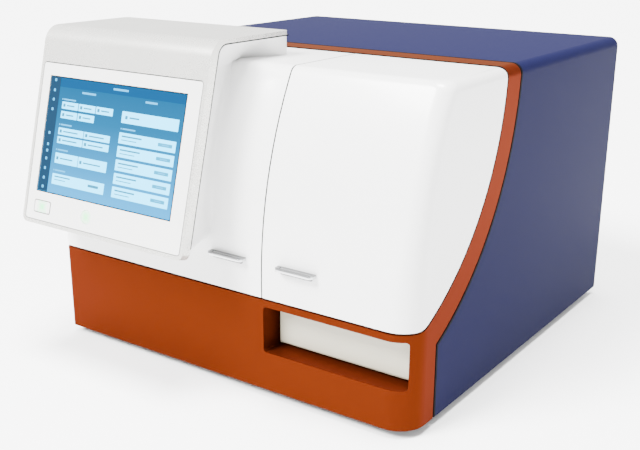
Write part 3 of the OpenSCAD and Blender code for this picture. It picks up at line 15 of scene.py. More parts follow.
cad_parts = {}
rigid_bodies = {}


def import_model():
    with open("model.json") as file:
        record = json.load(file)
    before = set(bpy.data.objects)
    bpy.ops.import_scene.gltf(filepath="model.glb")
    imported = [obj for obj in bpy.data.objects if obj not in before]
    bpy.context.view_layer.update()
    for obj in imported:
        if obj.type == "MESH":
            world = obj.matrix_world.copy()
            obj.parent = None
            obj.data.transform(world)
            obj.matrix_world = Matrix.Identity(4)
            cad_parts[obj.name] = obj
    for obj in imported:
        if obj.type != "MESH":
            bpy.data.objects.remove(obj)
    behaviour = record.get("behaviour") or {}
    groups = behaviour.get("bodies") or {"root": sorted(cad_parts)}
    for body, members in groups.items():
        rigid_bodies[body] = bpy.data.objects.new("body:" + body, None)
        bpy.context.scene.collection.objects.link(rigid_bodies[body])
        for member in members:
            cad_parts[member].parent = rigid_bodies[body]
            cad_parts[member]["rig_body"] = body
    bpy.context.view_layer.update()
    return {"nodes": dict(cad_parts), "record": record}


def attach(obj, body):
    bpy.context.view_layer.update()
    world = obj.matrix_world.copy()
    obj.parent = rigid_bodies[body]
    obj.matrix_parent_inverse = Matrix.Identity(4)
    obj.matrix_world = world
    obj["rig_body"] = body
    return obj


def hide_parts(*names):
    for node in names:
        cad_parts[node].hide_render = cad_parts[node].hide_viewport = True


bl_info = {
    "name": "Microplate Reader",
    "version": (1, 0, 0),
    "blender": (4, 5, 0),
    "location": "View3D > Sidebar > Reader",
    "description": "Builds the looks of a bench-top microplate reader round its solids",
    "category": "Object",
}

MM = 0.001
CREASE = math.radians(38)  # edges sharper than this stay crisp, and are the ones softened
FACING = 0.9  # a face looks one way when its normal goes at least this far along it
SLACK = 1 * MM  # how far the middle of a face may lie from the line it belongs to
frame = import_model()
SLOTS = {part["node"]: part["material_slot"] for part in frame["record"]["subparts"]}


def box(node):
    """Lowest and highest corner of a solid."""
    places = [vertex.co for vertex in frame["nodes"][node].data.vertices]
    return tuple(Vector([pick(place[axis] for place in places) for axis in range(3)])
                 for pick in (min, max))


HOUSING_LO, HOUSING_HI = box("display_housing")
LEFT_DOOR_HI = box("left_door")[1]
RIGHT_DOOR_LO = box("right_door")[0]
COVER_LO = box("rear_cover")[0]
HANDLE_LO, HANDLE_HI = box("left_handle")


# ---- sizes and colours that a user would change ----

def colour(name, description, default):
    """A colour setting, in linear light."""
    return FloatVectorProperty(name=name, description=description, default=default,
                               subtype="COLOR", size=3, min=0.0, max=1.0)


def length(name, description, default):
    """A length setting, in metres."""
    return FloatProperty(name=name, description=description, default=default, unit="LENGTH")


def spot(name, description, *default):
    """A setting for a place on a plane or in space, in metres."""
    return FloatVectorProperty(name=name, description=description, default=default,
                               size=len(default), unit="LENGTH")


def power(name, description, default):
    """A setting for how strong a light is."""
    return FloatProperty(name=name, description=description, default=default, min=0.0)


def angle(name, description, degrees):
    """An angle setting, given in degrees."""
    return FloatProperty(name=name, description=description, default=math.radians(degrees),
                         subtype="ANGLE", unit="ROTATION")


class ReaderColours(PropertyGroup):
    """Colours of the reader's finishes."""

    bezel: colour("Bezel", "Satin copper-orange paint of the front", (0.060, 0.0088, 0.0022))
    cover: colour("Cover", "Dark blue powder coat of the rear cover", (0.0055, 0.0058, 0.028))
    doors: colour("Doors", "Satin white of the two doors", (0.74, 0.74, 0.735))
    housing: colour("Display housing", "Pearl grey of the display", (0.68, 0.675, 0.64))
    panel: colour("Front panel", "Pale grey round the screen", (0.68, 0.68, 0.665))
    drawer: colour("Drawer", "Warm white of the plate drawer", (0.37, 0.345, 0.265))
    screen_top: colour("Screen top", "Blue at the top of the screen", (0.0, 0.032, 0.077))
    screen_mid: colour("Screen middle", "Blue two thirds of the way up", (0.0, 0.047, 0.106))
    screen_low: colour("Screen foot", "Light blue at the screen's foot", (0.003, 0.140, 0.310))
    key_light: colour("Key light", "Green light behind the power key", (0.20, 1.0, 0.38))
    lens_light: colour("Lens light", "Green light behind the status lens", (0.26, 1.0, 0.38))


class ReaderSizes(PropertyGroup):
    """Places that the new pieces take from the solids, and widths of seams and edges."""

    tilt: angle("Display tilt", "Lean of the display away from upright", 15.2)
    display_y: length("Display front", "Place of the display's lower front edge on Y",
                      HOUSING_LO.y)
    display_z: length("Display foot", "Height of the display's lower front edge", 176 * MM)
    display_top: length("Display top", "Height of the display housing", HOUSING_HI.z)
    roll_radius: length("Display roll", "Radius of the housing's rolled top edge", 24 * MM)
    panel_lo: spot("Panel corner", "Lower left corner of the front panel", -261 * MM, 5 * MM)
    panel_hi: spot("Panel far corner", "Upper right corner of the front panel",
                   1.5 * MM, 201 * MM)
    panel_corner: length("Panel rounding", "Radius of the panel's corners", 4 * MM)
    screen_x: length("Screen left", "Left edge of the visible screen", -245.75 * MM)
    screen_v: length("Screen foot", "Lower edge of the screen, up along the display", 42 * MM)
    screen_w: length("Screen width", "Width of the visible screen", 226 * MM)
    screen_h: length("Screen height", "Height of the visible screen", 142.5 * MM)
    key_x: length("Key centre", "Middle of the power key", -232 * MM)
    key_v: length("Key height", "Middle of the power key, up along the display", 22.5 * MM)
    lens_x: length("Lens centre", "Middle of the status lens", -153.75 * MM)
    lens_v: length("Lens height", "Middle of the status lens, up along the display", 23 * MM)
    boss_side: length("Boss side", "Place on X where the boss meets the housing", HOUSING_HI.x)
    boss_depth: length("Boss depth", "Set-back of the boss from the display front", 12.3 * MM)
    boss_top: length("Boss top", "Height of the boss", LEFT_DOOR_HI.z)
    boss_foot: length("Boss foot", "Height of the lowest edge of the boss", 186 * MM)
    boss_back: length("Boss back", "Place on Y where the boss ends", HOUSING_HI.y)
    seam_x: length("Door gap", "Middle of the gap between the doors",
                   (LEFT_DOOR_HI.x + RIGHT_DOOR_LO.x) / 2)
    gap_shadow_half_width: length("Gap shadow", "Half width of the dark line at the door gap", 0.95 * MM)
    hoop_y: length("Hoop middle Y", "Middle of the hoop's circle on Y", -340.5 * MM)
    hoop_z: length("Hoop middle Z", "Middle of the hoop's circle on Z", 391 * MM)
    hoop_radius: length("Hoop opening", "Radius of the hoop's opening for the doors", 292 * MM)
    ledge_z: length("Ledge", "Height of the ledge under the doors", 123 * MM)
    cover_radius: length("Cover edge", "Radius of the rear cover's front edge", 328 * MM)
    cover_foot_y: length("Cover foot", "Front edge of the rear cover at its foot", COVER_LO.y)
    cover_gap_shadow: length("Cover gap shadow", "Width of the painted shadow at the cover's edge", 3.0 * MM)
    handle_z: length("Handle foot", "Height of the underside of the handles", HANDLE_LO.z)
    handle_h: length("Handle height", "Height of the handles", HANDLE_HI.z - HANDLE_LO.z)
    soft_edge: length("Soft edge", "Width of the softened edge on moulded parts", 0.5 * MM)


class ReaderStudio(PropertyGroup):
    """Floor, light and camera."""

    floor: colour("Floor", "Pale floor", (0.93, 0.93, 0.93))
    floor_reach: length("Floor reach", "Distance from the middle of the floor to its side", 12.0)
    key: power("Key light", "Soft light from the front left", 14.5)
    fill: power("Fill light", "Soft light from the right", 0.3)
    top: power("Top light", "Soft light from overhead", 12.0)
    sky: power("Sky", "Strength of the light from all round", 1.5)
    screen: power("Screen light", "Strength of the light from the lit screen", 8.0)
    aim: spot("Light aim", "Point that the lights shine at", 0.0, 0.0, 200 * MM)
    camera_place: spot("Camera place", "Where the camera stands", 0.717356, -1.059698, 0.539072)
    camera_aim: spot("Camera aim", "Point that the camera looks at",
                     0.009216, -0.048588, 0.131402)
    camera_roll: angle("Camera roll", "Turn of the camera about its line of sight", 0.27822)
    camera_lens: FloatProperty(name="Lens", default=54.583,
                               description="Focal length in mm, on a sensor 36 mm wide")
    camera_rise: FloatProperty(name="Lens rise", default=15 / 640,
                               description="Rise of the lens, as a share of the picture's width")


# ---- shader maths ----

class Wire:
    """An output socket that can stand in Python sums; each sum adds its Math nodes."""

    def __init__(self, finish, socket):
        self.finish = finish
        self.socket = socket

    def maths(self, operation, *others, clamp=False):
        """Adds one Math node on this wire and other wires or numbers."""
        return self.finish.maths(operation, self, *others, clamp=clamp)

    def __add__(self, other):
        return self.maths("ADD", other)

    __radd__ = __add__

    def __sub__(self, other):
        return self.maths("SUBTRACT", other)

    def __rsub__(self, other):
        return self.finish.maths("SUBTRACT", other, self)

    def __mul__(self, other):
        return self.maths("MULTIPLY", other)

    __rmul__ = __mul__

    def __truediv__(self, other):
        return self.maths("DIVIDE", other)

    def __pow__(self, other):
        return self.maths("POWER", other)


def tint(colour, share):
    """A colour made lighter or darker, up to white."""
    return tuple(min(part * share, 1.0) for part in colour)


class Finish:
    """One material with its surface shader and the nodes that feed it."""

    def __init__(self, name, colour, roughness, metallic=0.0, **sockets):
        self.material = bpy.data.materials.new(name)
        self.material.use_nodes = True
        self.tree = self.material.node_tree
        self.shader = self.tree.nodes["Principled BSDF"]
        self.colour = tuple(colour)
        self.set("Base Color", (*colour, 1.0))
        self.set("Roughness", roughness)
        self.set("Metallic", metallic)
        for socket, value in sockets.items():  # coat_weight stands for Coat Weight
            self.set(socket.replace("_", " ").title().replace("Ior", "IOR"), value)

    def set(self, socket, value):
        """Gives a socket of the surface shader a fixed value."""
        self.shader.inputs[socket].default_value = value

    def feed(self, socket, wire):
        """Links a wire to a socket of the surface shader, in place of what fed it before."""
        self.tree.links.new(wire.socket, self.shader.inputs[socket])
        return self

    def node(self, kind, settings=None, values=None, output=0):
        """Adds a node: its settings first, then the values or wires of its sockets."""
        made = self.tree.nodes.new(kind)
        settings = dict(settings or {})
        stops = settings.pop("stops", ())
        for setting, value in settings.items():
            setattr(made, setting, value)
        if stops:
            ramp = made.color_ramp.elements
            while len(ramp) < len(stops):
                ramp.new(0.5)
            for element, (place, tone) in zip(ramp, stops):
                element.position = place
                element.color = (*tone, 1.0)
        for socket, value in (values or {}).items():
            if isinstance(value, Wire):
                self.tree.links.new(value.socket, made.inputs[socket])
            else:
                made.inputs[socket].default_value = value
        return Wire(self, made.outputs[output])

    def place(self, turn=(0, 0, 0), move=(0, 0, 0), stretch=(1, 1, 1)):
        """Object coordinates, stretched, turned and moved."""
        coordinates = self.node("ShaderNodeTexCoord", output="Object")
        return self.node("ShaderNodeMapping", {"vector_type": "POINT"},
                         {"Vector": coordinates, "Location": move, "Rotation": turn,
                          "Scale": stretch})

    def maths(self, operation, *terms, clamp=False):
        """Adds one Math node on wires and numbers."""
        return self.node("ShaderNodeMath", {"operation": operation, "use_clamp": clamp},
                         dict(enumerate(terms)))

    def along(self, axis, **moves):
        """Distance along one axis of Object coordinates, turned or moved as place() does."""
        return self.node("ShaderNodeSeparateXYZ", None, {"Vector": self.place(**moves)}, axis)

    def along_display(self, axis):
        """Distance along the display's own X, depth (Y) or height (Z)."""
        tilt = bpy.context.scene.reader_sizes.tilt
        return self.along(axis, turn=(tilt, 0, 0), move=display_offset())

    def noise(self, size, detail=2.0, where=None):
        """Noise with features of about that size, in metres."""
        return self.node("ShaderNodeTexNoise", {"noise_dimensions": "3D"},
                         {"Vector": where or self.place(), "Scale": 1.0 / size,
                          "Detail": detail}, "Fac")

    def blend(self, share, first, second):
        """Mixes two colours, each a wire or three numbers, by a share."""
        first, second = (c if isinstance(c, Wire) else (*c, 1.0) for c in (first, second))
        # a Mix node has sockets for each type of data: 6, 7 and output 2 are for colours
        return self.node("ShaderNodeMix", {"data_type": "RGBA"},
                         {0: share, 6: first, 7: second}, output=2)

    def shades(self, share, low, high):
        """Base colour that goes from darker to lighter by a share."""
        return self.feed("Base Color", self.blend(share, tint(self.colour, low),
                                                  tint(self.colour, high)))

    def paint_over(self, share, colour):
        """Lays a second colour over the base colour that is fed so far, by a share."""
        base = Wire(self, self.shader.inputs["Base Color"].links[0].from_socket)
        return self.feed("Base Color", self.blend(share, base, colour))

    def rough(self, share, low, high):
        """Roughness between two values by a share."""
        return self.feed("Roughness", share * (high - low) + low)

    def bump(self, height, depth):
        """Fine relief, depth in metres."""
        return self.feed("Normal", self.node("ShaderNodeBump", None, {
            "Height": height, "Strength": 1.0, "Distance": depth}))


FINISHES = {}  # by slot or by the finish's own name; make_finishes() fills it


def moulded(name, colour, roughness, grain=0.9 * MM, depth=0.02 * MM, **sockets):
    """Moulded plastic with a fine eroded grain and slight unevenness."""
    made = Finish(name, colour, roughness, **sockets)
    patches = made.noise(60 * MM, 3.0)
    grains = made.noise(grain, 3.0)
    made.shades(patches, 0.975, 1.012)
    made.rough(patches * 0.6 + grains * 0.4, roughness * 0.88, roughness * 1.15)
    return made.bump(grains, depth)


def coated(name, colour, roughness, grain=0.7 * MM, depth=0.05 * MM, **sockets):
    """Powder coat: an orange-peel skin with small specks of tone."""
    made = Finish(name, colour, roughness, **sockets)
    grains = made.noise(grain, 4.0)
    made.shades(made.noise(grain * 0.6, 2.0), 0.86, 1.14)
    made.rough(grains, roughness * 0.8, roughness * 1.25)
    return made.bump(grains, depth)


def brushed(name, colour, roughness, along=0, metallic=1.0):
    """Brushed metal, with fine lines along one axis."""
    made = Finish(name, colour, roughness, metallic)
    stretch = [0.03 if axis == along else 1.0 for axis in range(3)]
    lines = made.noise(0.35 * MM, 3.0, made.place(stretch=stretch))
    patches = made.noise(25 * MM, 2.0)
    made.shades(lines, 0.86, 1.08)
    made.rough(lines * 0.7 + patches * 0.3, roughness * 0.7, roughness * 1.4)
    return made.bump(lines, 0.008 * MM)


def satin_copper(name, colour):
    """Metallic copper-orange paint under a satin clear coat."""
    made = Finish(name, colour, 0.42, 0.55, specular_ior_level=0.02,
                  specular_tint=(1.0, 0.50, 0.14, 1.0))
    flakes = made.noise(0.30 * MM, 2.0)
    clouds = made.noise(120 * MM, 2.0)
    made.shades(flakes * 0.75 + clouds * 0.25, 0.80, 1.22)
    made.rough(flakes, 0.36, 0.48)
    return made.bump(made.noise(1.6 * MM, 2.0), 0.012 * MM)


def circuit(name):
    """Green circuit board with darker tracks and small pads."""
    made = Finish(name, (0.012, 0.13, 0.055), 0.35, coat_weight=0.3)
    tracks = made.node("ShaderNodeTexBrick", {"offset": 0.5}, {
        "Vector": made.place(), "Scale": 1.0 / (9 * MM), "Mortar Size": 0.06,
        "Mortar Smooth": 0.0}, output="Fac")
    made.feed("Base Color", made.blend(tracks, (0.010, 0.12, 0.05), (0.022, 0.20, 0.085)))
    made.rough(made.noise(3 * MM), 0.28, 0.42)
    return made.bump(tracks, 0.03 * MM)


def glassy(name, colour, alpha):
    """Thin clear or tinted glass with faint smears."""
    made = Finish(name, colour, 0.05, alpha=alpha, ior=1.5, coat_weight=0.5)
    return made.rough(made.noise(18 * MM, 3.0), 0.05, 0.13)


def lit_screen(name):
    """Dark smooth cover of the screen, which shines by the colour that is fed to it next."""
    made = Finish(name, (0.002, 0.003, 0.005), 0.12, specular_ior_level=0.01,
                  emission_strength=bpy.context.scene.reader_studio.screen)
    return made.rough(made.noise(30 * MM), 0.09, 0.16)


def screen_light(name, top, middle, low):
    """Lit screen background: dark blue at the top, light blue at the foot."""
    sizes = bpy.context.scene.reader_sizes
    made = lit_screen(name)
    share = (made.along_display("Z") - sizes.screen_v) / sizes.screen_h
    halfway = tuple(0.5 * (a + b) for a, b in zip(top, low))
    stops = [(0.0, low), (0.3, halfway), (0.65, middle), (1.0, top)]
    return made.feed("Emission Color", made.node("ShaderNodeValToRGB", {"stops": stops},
                                                 {"Fac": share}))


def screen_ink(name, light):
    """One flat tone shown by the screen, with a faint unevenness."""
    made = lit_screen(name)
    return made.feed("Emission Color", made.blend(made.noise(0.8 * MM, 1.0), tint(light, 0.96),
                                                  light))


def door_skin(name, colour):
    """Satin white moulding, with a painted shadow along the gap between the doors."""
    sizes = bpy.context.scene.reader_sizes
    made = moulded(name, colour, 0.30, coat_weight=0.25, coat_roughness=0.12)
    away = (made.along("X") - sizes.seam_x).maths("ABSOLUTE") / sizes.gap_shadow_half_width
    # painted shadow: a near-black line on the doors within that half width of the gap's middle
    return made.paint_over(1 - away.maths("GREATER_THAN", 1.0), (0.020, 0.020, 0.020))


def cover_skin(name, colour):
    """Dark blue powder coat, with a painted shadow along the edge that meets the hoop."""
    sizes = bpy.context.scene.reader_sizes
    made = coated(name, colour, 0.46, specular_ior_level=0.012)
    back = made.along("Y") - sizes.hoop_y
    up = made.along("Z") - sizes.hoop_z
    far = (back * back + up * up) ** 0.5
    # painted shadow: a near-black band on the cover within a width of its edge at the hoop and
    # at its foot
    arc = far.maths("GREATER_THAN", sizes.cover_radius + sizes.cover_gap_shadow)
    foot = back.maths("GREATER_THAN", sizes.cover_foot_y + sizes.cover_gap_shadow - sizes.hoop_y)
    return made.paint_over(1 - arc * foot, (0.003, 0.003, 0.004))


def handle_metal_painted_shade(name):
    """Brushed silver with painted shade: near black on its underside and duller grey in the
    groove on top, with the lip left at the plain bright silver.
    """
    sizes = bpy.context.scene.reader_sizes
    silver = (0.60, 0.61, 0.62)
    made = brushed(name, silver, 0.22, metallic=0.97)
    share = (made.along("Z") - sizes.handle_z) / sizes.handle_h
    # painted shade by height: near black under the handle, plain silver on the lip, a duller
    # grey on top
    painted_shade_bands = [(0.0, (0.004, 0.004, 0.004)), (0.26, (0.012, 0.012, 0.013)), (0.40, silver),
             (0.72, silver), (0.92, (0.14, 0.142, 0.145))]
    return made.feed("Base Color", made.node("ShaderNodeValToRGB", {"stops": painted_shade_bands},
                                             {"Fac": share}))


def backlit(name, colour, light, x, v, reach):
    """Plastic with a light behind it, which fades out from a place (x, v) of the display."""
    made = Finish(name, colour, 0.38, emission_strength=6.0)
    across = (made.along_display("X") - x).maths("ABSOLUTE")
    along = (made.along_display("Z") - v).maths("ABSOLUTE")
    away = across.maths("MAXIMUM", along) / reach
    share = away.maths("SUBTRACT", 0.25, clamp=True) ** 0.6  # full light on the middle quarter
    made.feed("Emission Color", made.blend(share, light, (0.0, 0.0, 0.0)))
    made.feed("Base Color", made.blend(share, tint(light, 0.12), colour))
    return made.rough(made.noise(2 * MM), 0.34, 0.44)


def make_finishes():
    """Every finish of the reader, by the name of its slot in the record or its own name."""
    tones = bpy.context.scene.reader_colours
    sizes = bpy.context.scene.reader_sizes
    FINISHES.update({
        "case_orange": satin_copper("satin_copper", tones.bezel),
        "cover_blue": cover_skin("blue_powder_coat", tones.cover),
        "door_white": door_skin("door_white", tones.doors),
        "display_grey": moulded("pearl_grey", tones.housing, 0.27, metallic=0.62),
        "panel_grey": moulded("panel_grey", tones.panel, 0.38),
        "button_grey": backlit("key_grey", tones.panel, tones.key_light,
                               sizes.key_x, sizes.key_v, reach=8 * MM),
        "drawer_white": moulded("drawer_white", tones.drawer, 0.36),
        "handle_silver": handle_metal_painted_shade("satin_silver"),
        "steel": brushed("zinc_plated_steel", (0.56, 0.57, 0.58), 0.34),
        "aluminium": brushed("machined_aluminium", (0.72, 0.73, 0.74), 0.30, along=1),
        "anodised_black": coated("black_anodised", (0.022, 0.022, 0.025), 0.42,
                                 grain=0.4 * MM, depth=0.01 * MM, metallic=0.6),
        "dark_metal": coated("dark_grey_coat", (0.085, 0.086, 0.09), 0.5),
        "liner_grey": coated("liner_grey_coat", (0.13, 0.135, 0.15), 0.52),
        "seal_black": coated("seal_foam", (0.01, 0.01, 0.011), 0.85, grain=1.1 * MM,
                             depth=0.2 * MM),
        "foot_rubber": moulded("foot_rubber", (0.012, 0.012, 0.013), 0.72),
        "belt_rubber": moulded("belt_rubber", (0.014, 0.014, 0.015), 0.7),
        "black_plastic": moulded("black_plastic", (0.02, 0.02, 0.022), 0.45),
        "motor_black": coated("motor_black", (0.018, 0.018, 0.02), 0.4),
        "switch_black": moulded("rocker_black", (0.015, 0.015, 0.017), 0.22,
                                depth=0.003 * MM),
        "pusher_orange": moulded("pusher_orange", (0.62, 0.14, 0.02), 0.4),
        "circuit_green": circuit("circuit_green"),
        "clear_glass": glassy("clear_glass", (0.88, 0.92, 0.94), 0.3),
        "amber_glass": glassy("amber_glass", (0.22, 0.07, 0.01), 0.9),
        "plunger_white": moulded("plunger_white", (0.85, 0.85, 0.84), 0.35),
        "status_lens": backlit("status_lens", tones.panel, tones.lens_light,
                               sizes.lens_x, sizes.lens_v, reach=9 * MM),
        # seam_dark paints shade on the faces in the gaps and on the darker shadow lines, and
        # also colours the dark strip at the boss; seam_grey paints the paler shadow lines
        "seam_dark": moulded("seam_dark", (0.005, 0.005, 0.005), 0.7,
                             specular_ior_level=0.05),
        "seam_grey": moulded("seam_grey", (0.065, 0.065, 0.063), 0.5),
        "screen": screen_light("screen_blue", tones.screen_top, tones.screen_mid,
                               tones.screen_low),
        "screen_card": screen_ink("screen_card", (0.05, 0.60, 1.0)),
        "screen_bar": screen_ink("screen_bar", (0.004, 0.016, 0.033)),
        "screen_text": screen_ink("screen_text", (0.012, 0.10, 0.17)),
        "screen_label": screen_ink("screen_label", (0.02, 0.22, 0.42)),
        "screen_key": screen_ink("screen_key", (0.004, 0.16, 0.28)),
        "screen_band": screen_ink("screen_band", (0.0, 0.025, 0.070)),
    })


# ---- shapes ----

def display_offset():
    """Moves a point from the reader's frame onto the display's front plane, once turned."""
    sizes = bpy.context.scene.reader_sizes
    turned = Matrix.Rotation(sizes.tilt, 4, "X") @ Vector((0, sizes.display_y, sizes.display_z))
    return tuple(-turned)


def on_display():
    """Places x, depth and height along the display's front plane into the reader's frame."""
    sizes = bpy.context.scene.reader_sizes
    return (Matrix.Translation((0, sizes.display_y, sizes.display_z))
            @ Matrix.Rotation(-sizes.tilt, 4, "X"))


def add_piece(name, mesh, body, stands_for=()):
    """Links a finished mesh as a piece that rides on a body."""
    data = bpy.data.meshes.new(name)
    mesh.to_mesh(data)
    mesh.free()
    piece = bpy.data.objects.new(name, data)
    bpy.context.scene.collection.objects.link(piece)
    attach(piece, body)
    if stands_for:
        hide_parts(*stands_for)
    return piece


def shade(mesh):
    """Smooth faces, with sharp edges kept crisp."""
    for face in mesh.faces:
        face.smooth = True
    for edge in mesh.edges:
        edge.smooth = len(edge.link_faces) == 2 and edge.calc_face_angle(0.0) < CREASE


def soften(piece, width):
    """Rounds the crisp edges of a piece a little, as tools and paint leave them."""
    bevel = piece.modifiers.new("soft_edge", "BEVEL")
    bevel.width = width
    bevel.segments = 2
    bevel.limit_method = "ANGLE"
    bevel.angle_limit = CREASE
    bevel.harden_normals = True
    bevel.use_clamp_overlap = True
    return piece


def dress(node, name, width):
    """A merged copy of a solid, with its edges softened by a width, which stands for it."""
    solid = frame["nodes"][node]
    mesh = bmesh.new()
    mesh.from_mesh(solid.data)
    for face in mesh.faces:
        face.material_index = 0
    bmesh.ops.remove_doubles(mesh, verts=mesh.verts, dist=0.001 * MM)
    bmesh.ops.dissolve_limit(mesh, angle_limit=math.radians(0.2), verts=mesh.verts,
                             edges=mesh.edges, delimit=set())
    shade(mesh)
    piece = add_piece(name, mesh, solid["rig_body"], [node])
    piece.data.materials.append(FINISHES[SLOTS[node]].material)
    return soften(piece, width) if width else piece


def dress_each(*pairs):
    """Dresses each node with its width, as pieces that keep the nodes' own names."""
    for node, width in pairs:
        dress(node, node + "_dressed", width)


def hoop_spoke(point):
    """From the middle of the hoop's circle to a point, seen along X."""
    sizes = bpy.context.scene.reader_sizes
    return Vector((0, point.y - sizes.hoop_y, point.z - sizes.hoop_z))


def paint_gap_shade(piece, chosen):
    """A second, dark finish on the faces that a test of middle and normal picks, as painted
    shade in a gap.
    """
    piece.data.materials.append(FINISHES["seam_dark"].material)
    for face in piece.data.polygons:
        if chosen(face.center, face.normal):
            face.material_index = 1


def card(mesh, lo, hi, radius, depth, thick, ink, width=0.0):
    """Thin rounded plate on the display's front plane, between two corners (x, v).

    Depth is set back from that plane, and a width leaves only a rim of the plate.
    """
    before = set(mesh.faces)
    size = Vector(hi) - Vector(lo)
    middle = Vector(lo) + size / 2
    made = bmesh.ops.create_grid(mesh, x_segments=1, y_segments=1, size=0.5)["verts"]
    bmesh.ops.scale(mesh, vec=(size.x, size.y, 1), verts=made)
    bmesh.ops.rotate(mesh, matrix=Matrix.Rotation(math.radians(90), 3, "X"), verts=made)
    bmesh.ops.translate(mesh, vec=(middle.x, depth + thick, middle.y), verts=made)
    if radius:
        bmesh.ops.bevel(mesh, geom=made, offset=radius, offset_type="OFFSET", segments=3,
                        profile=0.5, affect="VERTICES", material=-1, clamp_overlap=True)
    faces = [f for f in mesh.faces if f not in before]
    if width:
        rim = bmesh.ops.inset_region(mesh, faces=faces, thickness=width,
                                     use_boundary=True, use_even_offset=True)["faces"]
        bmesh.ops.delete(mesh, geom=faces, context="FACES_ONLY")
        faces = rim
    grown = bmesh.ops.extrude_face_region(mesh, geom=faces)["geom"]
    bmesh.ops.translate(mesh, vec=(0, -thick, 0),
                        verts=[g for g in grown if isinstance(g, bmesh.types.BMVert)])
    for face in mesh.faces:
        if face not in before:
            face.material_index = ink


class ScreenPage:
    """Flat blocks laid on the screen, in millimetres from its top left corner."""

    inks = ("bar", "card", "text", "label", "key", "band")
    front = 0.36 * MM  # depth of the lowest layer, from the display's front plane
    step = 0.02 * MM  # thickness of a layer

    def __init__(self, sizes):
        self.mesh = bmesh.new()
        self.left = sizes.screen_x
        self.top = sizes.screen_v + sizes.screen_h

    def block(self, ink, x0, y0, x1, y1, radius=0.3, layer=0):
        """One block between two corners; layer 0 lies on the glass."""
        card(self.mesh, (self.left + x0 * MM, self.top - y1 * MM),
             (self.left + x1 * MM, self.top - y0 * MM), radius * MM,
             self.front - self.step * layer, self.step, self.inks.index(ink))

    def heading(self, x0, y, x1):
        """A short line of writing, with a mark before it."""
        high = 1.8
        self.block("label", x0, y, x1, y + high)
        self.block("label", x0 - 3, y, x0 - 3 + high, y + high)

    def tile(self, x, y, wide, high):
        """A card with a sign and a line of writing, at half its height."""
        middle = y + high / 2
        self.block("card", x, y, x + wide, y + high, radius=0.5)
        self.block("text", x + 2.2, middle - 2, x + 6.2, middle + 2, radius=0.6, layer=1)
        self.block("text", x + 8.6, middle - 0.8, x + wide * 0.78, middle + 0.8, layer=1)

    def entry(self, x, y):
        """A wide card of the column on the right: two lines of writing and a key."""
        self.block("card", x, y, x + 90.2, y + 12.8, radius=0.5)
        self.block("text", x + 4.2, y + 3.2, x + 36.8, y + 5, layer=1)
        self.block("text", x + 4.2, y + 8, x + 28.8, y + 9, layer=1)
        self.block("key", x + 62.8, y + 4.2, x + 84.8, y + 8.2, radius=0.7, layer=1)
        self.block("label", x + 68.8, y + 5.6, x + 79.8, y + 6.8, layer=2)

    def finish(self):
        """Lays the blocks on the display and adds them as one piece."""
        bmesh.ops.transform(self.mesh, matrix=on_display(), verts=self.mesh.verts)
        piece = add_piece("screen_content", self.mesh, "left_lid")
        for ink in self.inks:
            piece.data.materials.append(FINISHES["screen_" + ink].material)


def aimed(data, place, aim, roll=0.0):
    """Adds a lamp or a camera at a place, turned to look at a point."""
    thing = bpy.data.objects.new(data.name, data)
    look = (Vector(aim) - Vector(place)).to_track_quat("-Z", "Y")
    turn = look @ Quaternion((0, 0, 1), roll)
    thing.matrix_world = Matrix.LocRotScale(Vector(place), turn, None)
    bpy.context.scene.collection.objects.link(thing)
    return thing


# ---- operators: one for each group of pieces ----

class READER_OT_stage(Operator):
    """Pale floor, soft studio light and the camera"""

    bl_idname = "reader.stage"
    bl_label = "Stage"

    def execute(self, context):
        studio = context.scene.reader_studio
        mesh = bmesh.new()
        bmesh.ops.create_grid(mesh, x_segments=1, y_segments=1, size=studio.floor_reach)
        data = bpy.data.meshes.new("floor")
        mesh.to_mesh(data)
        mesh.free()
        floor = bpy.data.objects.new("floor", data)
        context.scene.collection.objects.link(floor)
        pale = Finish("floor_pale", studio.floor, 0.6)
        pale.shades(pale.noise(0.4), 0.995, 1.0)
        data.materials.append(pale.material)

        world = bpy.data.worlds.new("studio")
        world.use_nodes = True
        sky = world.node_tree.nodes["Background"]
        sky.inputs["Color"].default_value = (1.0, 1.0, 1.0, 1.0)
        sky.inputs["Strength"].default_value = studio.sky
        context.scene.world = world

        for name, energy, spread, place in (
                ("key", studio.key, 24, (-0.9, -1.8, 2.3)),
                ("fill", studio.fill, 60, (2.0, -0.7, 0.8)),
                ("top", studio.top, 22, (0.1, 0.0, 2.5))):
            lamp = bpy.data.lights.new(name, "SUN")
            lamp.angle = math.radians(spread)
            lamp.energy = energy
            aimed(lamp, place, studio.aim)

        lens = bpy.data.cameras.new("camera")
        lens.sensor_width = 36.0
        lens.lens = studio.camera_lens
        lens.shift_y = studio.camera_rise
        lens.clip_start = 0.05
        lens.clip_end = 60.0
        context.scene.camera = aimed(lens, studio.camera_place, studio.camera_aim,
                                     studio.camera_roll)
        return {"FINISHED"}


class READER_OT_finishes(Operator):
    """Makes every finish"""

    bl_idname = "reader.finishes"
    bl_label = "Finishes"

    def execute(self, context):
        make_finishes()
        return {"FINISHED"}


